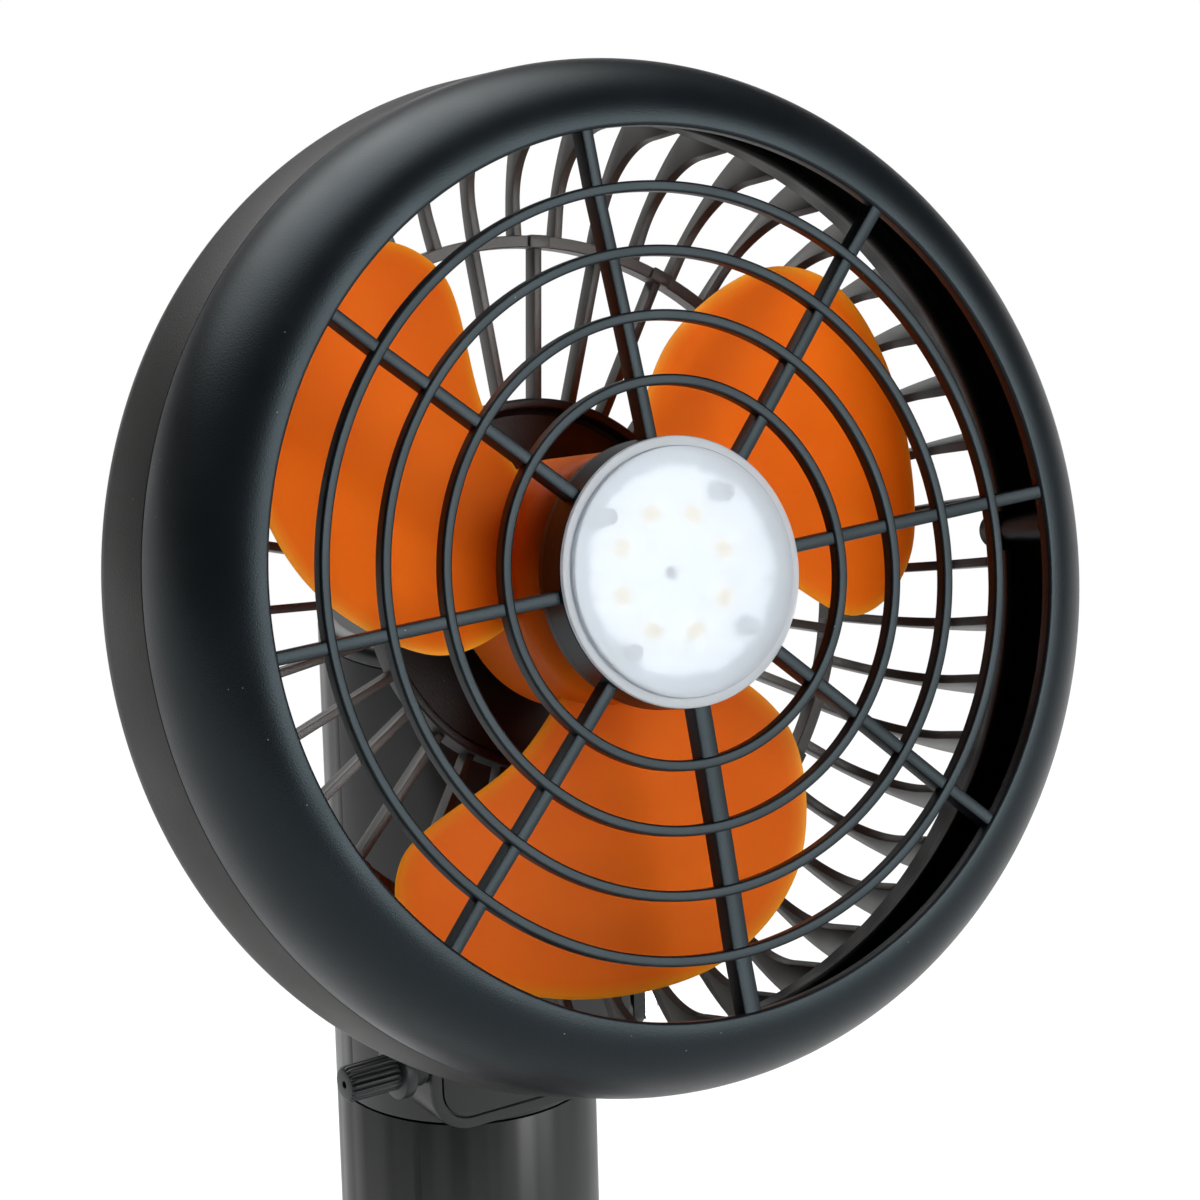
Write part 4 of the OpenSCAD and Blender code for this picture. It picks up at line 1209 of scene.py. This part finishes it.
@dataclass(frozen=True)
class Clamp(Assembly):
    """The fluted knob on the tilt axis, in millimetres along that axis."""

    flutes: int = 18
    groove: float = 0.45
    # place along the axis, radius, share of the flutes' depth
    sections: tuple[Point3, ...] = (
        (-42.5, 0.5, 0.0), (-42.6, 0.75, 0.0), (-43.2, 0.8, 0.0), (-43.3, 0.9, 0.0),
        (-43.3, 3.1, 0.0), (-43.2, 3.3, 0.1), (-42.7, 3.85, 1.0), (-42.3, 3.95, 1.0),
        (-32.4, 4.0, 1.0), (-31.9, 4.0, 0.3), (-31.6, 4.0, 0.0),
    )
    flange: tuple[Point, ...] = (
        (0.0, -31.7), (5.8, -31.6), (6.1, -31.45), (6.2, -31.2), (6.2, -29.2), (6.0, -28.9),
        (0.0, -28.9),
    )

    def build(self) -> None:
        """Builds the piece."""
        piece, slot, node = self.studio.piece, "knob_plastic", "clamp_knob"
        piece("fluted_knob", self.knob(), self.place, Body.CLAMP, slot, node)

    def knob(self) -> Form:
        """Makes the knob along the tilt axis.

        Returns:
            The form.
        """
        steps = 14 * self.flutes
        angles = [2 * math.pi * i / steps for i in range(steps)]
        rings = []
        for x, radius, share in self.sections:
            ring = []
            for a in angles:
                r = radius - self.groove * share * (0.5 + 0.5 * math.cos(self.flutes * a)) ** 3
                ring.append((r * math.cos(a), r * math.sin(a), x))
            rings.append(ring)
        return Form.lofted(rings).joined(Form.revolved(self.flange, 96)).turned(90, "Y")


@dataclass(frozen=True)
class Neck(Assembly):
    """The front of the neck with the boss that carries the tilt axis, and its panel."""

    foot: float = 143.2
    height: float = 44.0
    width: float = 50.0
    corner: float = 10.0
    face: float = -28.5
    radius: float = 28.0
    wall: float = 2.2
    low: float = 142.4
    high: float = 245.5
    ahead: float = 0.05
    # inset from the boss's outline, depth behind its face
    boss_steps: tuple[Point, ...] = (
        (0.0, 19.5), (0.0, 0.9), (0.08, 0.5), (0.3, 0.15), (0.7, 0.0),
        (2.45, 0.0), (2.58, 0.1), (2.6, 0.3), (2.6, 0.8),
    )
    panel_steps: tuple[Point, ...] = ((2.95, 0.78), (2.95, 0.3), (3.03, 0.14), (3.15, 0.08))

    def build(self) -> None:
        """Builds the pieces."""
        piece, place, slot = self.studio.piece, self.place, "column_satin"
        boss, panel = self.stepped(self.boss_steps), self.stepped(self.panel_steps)
        piece("hinge_boss", boss, place, Body.NECK, slot, "neck_front", 30)
        piece("neck_half", self.shell(), place, Body.NECK, slot, "neck_front")
        piece("boss_panel", panel, place, Body.NECK, slot, "hinge_panel", 30)

    def stepped(self, steps: Sequence[Point]) -> Form:
        """Skins rounded rectangles into the boss or its panel.

        Args:
            steps: Inset from the boss's outline and depth behind its face, for each ring.

        Returns:
            The form.
        """
        middle = self.foot + self.height / 2
        rings = []
        for inset, deep in steps:
            wide, high = self.width - 2 * inset, self.height - 2 * inset
            outline = rounded_rect(wide, high, max(self.corner - inset, 0.5))
            rings.append([(x, self.face + deep, middle + z) for x, z in outline])
        return Form.lofted(rings)

    def shell(self) -> Form:
        """Makes the front half of the neck.

        Returns:
            The form.
        """
        low, high, r, inside = self.low, self.high, self.radius, self.radius - self.wall
        section = [(r, low + 0.35), (r - 0.1, low + 0.1), (r - 0.35, low), (inside, low)]
        section += [(inside, high), (r - 0.35, high), (r - 0.1, high - 0.1), (r, high - 0.35)]
        return Form.revolved(section, 128, 180).turned(180).moved(y=-self.ahead)


# --- set and camera ---


@dataclass(frozen=True)
class Camera:
    """The camera, set by its view of the middle of the head's front."""

    azimuth: float = -31.392
    elevation: float = 21.128
    roll: float = -1.551
    right_mm: float = 15.822
    down_mm: float = -5.571
    distance_mm: float = 1390.961
    lens: float = 210.0
    sensor: float = 36.0
    clip_m: Point = (0.05, 100.0)

    def build(self, target: Vector) -> None:
        """Makes the camera.

        Args:
            target: Middle of the head's front, in the row frame.
        """
        az, el, roll = (math.radians(v) for v in (self.azimuth, self.elevation, self.roll))
        flat = math.cos(el)
        ahead = -Vector((math.sin(az) * flat, -math.cos(az) * flat, math.sin(el)))
        right = ahead.cross(Vector((0, 0, 1))).normalized()
        up = right.cross(ahead)
        side = right * math.cos(roll) + up * math.sin(roll)
        top = -right * math.sin(roll) + up * math.cos(roll)
        offset = -self.right_mm * side + self.down_mm * top - self.distance_mm * ahead
        data = bpy.data.cameras.new("camera")
        data.lens = self.lens
        data.sensor_width = self.sensor
        data.clip_start, data.clip_end = self.clip_m
        camera = bpy.data.objects.new("camera", data)
        turn = Matrix((side, top, -ahead)).transposed().to_4x4()
        camera.matrix_world = Matrix.Translation(target + offset * MM) @ turn
        bpy.context.scene.collection.objects.link(camera)
        bpy.context.scene.camera = camera


@dataclass(frozen=True)
class Glowing:
    """A soft patch of light in the surroundings."""

    way: Point3
    full_deg: float
    end_deg: float
    gain: float


@dataclass(frozen=True)
class Surroundings:
    """The floor, the white backdrop and the soft light of the room."""

    floor_z: float = -0.06665
    floor_half_mm: float = 9000.0
    floor_t_mm: float = 20.0
    near_m: float = 0.42
    far_m: float = 0.8
    behind_m: float = 0.1
    room: float = 0.04
    patches: tuple[Glowing, ...] = (
        Glowing((0.0, 0.62, 0.78), 20, 39, 4.4),
        Glowing((0.36, -0.87, 0.33), 12, 27, 8.2),
    )

    def build(self) -> None:
        """Makes the floor and the world."""
        self.floor()
        self.world()
        bpy.context.scene.view_settings.view_transform = "Standard"

    def floor(self) -> None:
        """Makes the pale floor, which turns into the white backdrop away from the object."""
        sh = Shader("floor_paint")
        tone = {0: sh.patches(400), 6: linear("#f2f2f2"), 7: linear("#f6f6f6")}
        links = {"Base Color": sh.node("Mix", tone, data_type="RGBA")[2], "Roughness": 0.9}
        coat = sh.node("BsdfPrincipled", links)[0]
        white = sh.node("Emission", {"Color": WHITE, "Strength": 1.0})[0]
        depth = sh.node("SeparateXYZ", {0: sh.place})["Y"]
        depth = sh.node("MapRange", {0: depth, 1: self.behind_m, 2: self.far_m})[0]
        away = sh.node("VectorMath", {0: sh.place}, operation="LENGTH")["Value"]
        away = sh.node("MapRange", {0: away, 1: self.near_m, 2: self.far_m})[0]
        rays = sh.node("LightPath")
        links = {0: rays["Is Glossy Ray"], 1: rays["Is Transmission Ray"]}
        clear = sh.node("Math", links, operation="MAXIMUM")[0]
        clear = sh.node("Math", {0: clear, 1: depth}, operation="MULTIPLY")[0]
        seen = sh.node("Math", {0: rays["Is Camera Ray"], 1: clear}, operation="MAXIMUM")[0]
        share = sh.node("Math", {0: seen, 1: away}, operation="MULTIPLY")[0]
        paint = sh.node("MixShader", {0: share, 1: coat, 2: white})[0]
        half = self.floor_half_mm
        corners = [(-half, -half), (half, -half), (half, half), (-half, half)]
        form = Form.prism(corners, -self.floor_t_mm, 0.0).placed(Matrix.Scale(MM, 4))
        mesh = form.baked("floor")
        mesh.materials.append(sh.finish(paint))
        floor = bpy.data.objects.new("floor", mesh)
        floor.location.z = self.floor_z
        bpy.context.scene.collection.objects.link(floor)

    def world(self) -> None:
        """Makes the dim room with its patches of light, and the white that the camera sees."""
        world = bpy.data.worlds.new("surroundings")
        world.use_nodes = True
        sky = Nodes(world.node_tree)
        level = self.room
        for patch in self.patches:
            toward = Vector(patch.way).normalized()
            links = {0: sky.coords["Generated"], 1: toward}
            facing = sky.node("VectorMath", links, operation="DOT_PRODUCT")["Value"]
            limits = [math.cos(math.radians(v)) for v in (patch.end_deg, patch.full_deg)]
            links = dict(enumerate((facing, *limits, 0.0, patch.gain)))
            part = sky.node("MapRange", links, interpolation_type="SMOOTHSTEP")[0]
            level = sky.node("Math", {0: part, 1: level}, operation="ADD")[0]
        room = sky.node("Background", {"Color": WHITE, "Strength": level})[0]
        white = sky.node("Background", {"Color": WHITE, "Strength": 1.0})[0]
        links = {0: sky.node("LightPath")["Is Camera Ray"], 1: room, 2: white}
        sky.node("OutputWorld", {"Surface": sky.node("MixShader", links)[0]})
        bpy.context.scene.world = world


FINISHES = (
    # ABS: blue-black with a broad cool sheen and a few specks of dust
    Moulded("front_plastic", "#0d1013", 0.38, 0.35, 0.045, 0.26, 0.55, "#def6ff"),
    # ABS: warmer and duller than the front
    Moulded("rear_plastic", "#110e0c", 0.46, 0.5, 0.06, 0.36, 0.35),
    # The same ABS, painted lighter grey on the ribs: a painted sheen where the light grazes them
    Moulded("rib_painted_sheen", "#403e3a", 0.45, 0.5, 0.04, 0.5),
    # Glass-filled nylon: flat dark grey
    Moulded("arm_plastic", "#131516", 0.45, 0.4, 0.012, 0.3),
    # Satin ABS from a fine tool: smooth, with long soft highlights down the column
    Moulded("column_satin", "#0f1112", 0.34, 0.25, 0.003, 0.42, 0.15),
    # Nylon: matt flutes with brighter crests
    Moulded("knob_plastic", "#14181a", 0.4, 0.4, 0.008, 0.35),
    # ABS inside the lamp: plain black
    Moulded("lamp_black", "#17191a", 0.5),
    # Solder resist: even and slightly satin
    Moulded("board_white", "#f1f2f0", 0.5, 1.2, 0.01),
    Moulded("board_green", "#1d5b33", 0.45, 1.0, 0.01),
    # ABS of hidden mouldings, and the lighter keys that stand out from it
    Moulded("dark_plastic", "#1c1e1f", 0.5),
    Moulded("button_plastic", "#373c3f", 0.42, 0.4, 0.008),
    # Polished acrylic light guide
    Moulded("status_green", "#9fd6a0", 0.25, 1.0, 0.002),
    # Silicone and thermoplastic rubber: dull, without a highlight
    Moulded("flap_rubber", "#202224", 0.7, 0.3, 0.02, 0.3),
    Moulded("foot_rubber", "#202224", 0.72, 0.5, 0.03, 0.3),
    # Bonded ferrite: matt grey
    Moulded("magnet", "#38383b", 0.6, 0.5, 0.02),
    # Shrink film over the cells: glossy blue
    Moulded("cell_wrap", "#2f7f9b", 0.3, 2.0, 0.003),
    # Zinc-plated steel, varnished steel sheets and turned brass
    Metal("zinc_steel", "#b9bcc0"),
    Metal("lamination", "#8b8c8e", 0.42, 0.3),
    Metal("brass", "#c39a4a"),
    Blade(),
    Frosted("lens_frosted"),
    # The LED board and chips: a painted glow that stands in for the light through the lens, and
    # painted shade on the board
    Glow("board_painted_light", "#fbfcfd", 0.4, "#8f9ba6", HeadPose().at_head()),
    Glow("chip_yellow", "#f9deb0", 0.4),
)


def main() -> None:
    """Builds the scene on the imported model."""
    logging.basicConfig(level=logging.INFO)
    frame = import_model()
    studio = Studio()
    studio.register(*FINISHES)
    slots = {part["node"]: part["material_slot"] for part in frame["record"]["subparts"]}
    # the board and chips take the finishes with painted light
    special = {"led_board": "board_painted_light", "led_chips": "chip_yellow"}
    soft = {"body_tube": 0.35, "neck_rear": 0.3, "neck_cap": 0.3, "tilt_arm": 0.4, "base_hub": 0.4}
    for name, obj in frame["nodes"].items():
        studio.dress(obj, special.get(name, slots[name]), soft.get(name, 0.0))
    pose, sizes = HeadPose(), HeadSizes()
    head = pose.at_head()
    FrontGuard(studio, head, sizes).build()
    RearGuard(studio, head, sizes).build()
    Lamp(studio, head, sizes).build()
    Impeller(studio, head).build()
    Clamp(studio, pose.at_hinge()).build()
    Neck(studio, Matrix.Scale(MM, 4)).build()
    Camera().build(head.translation)
    Surroundings().build()


if __name__ == "__main__":
    main()
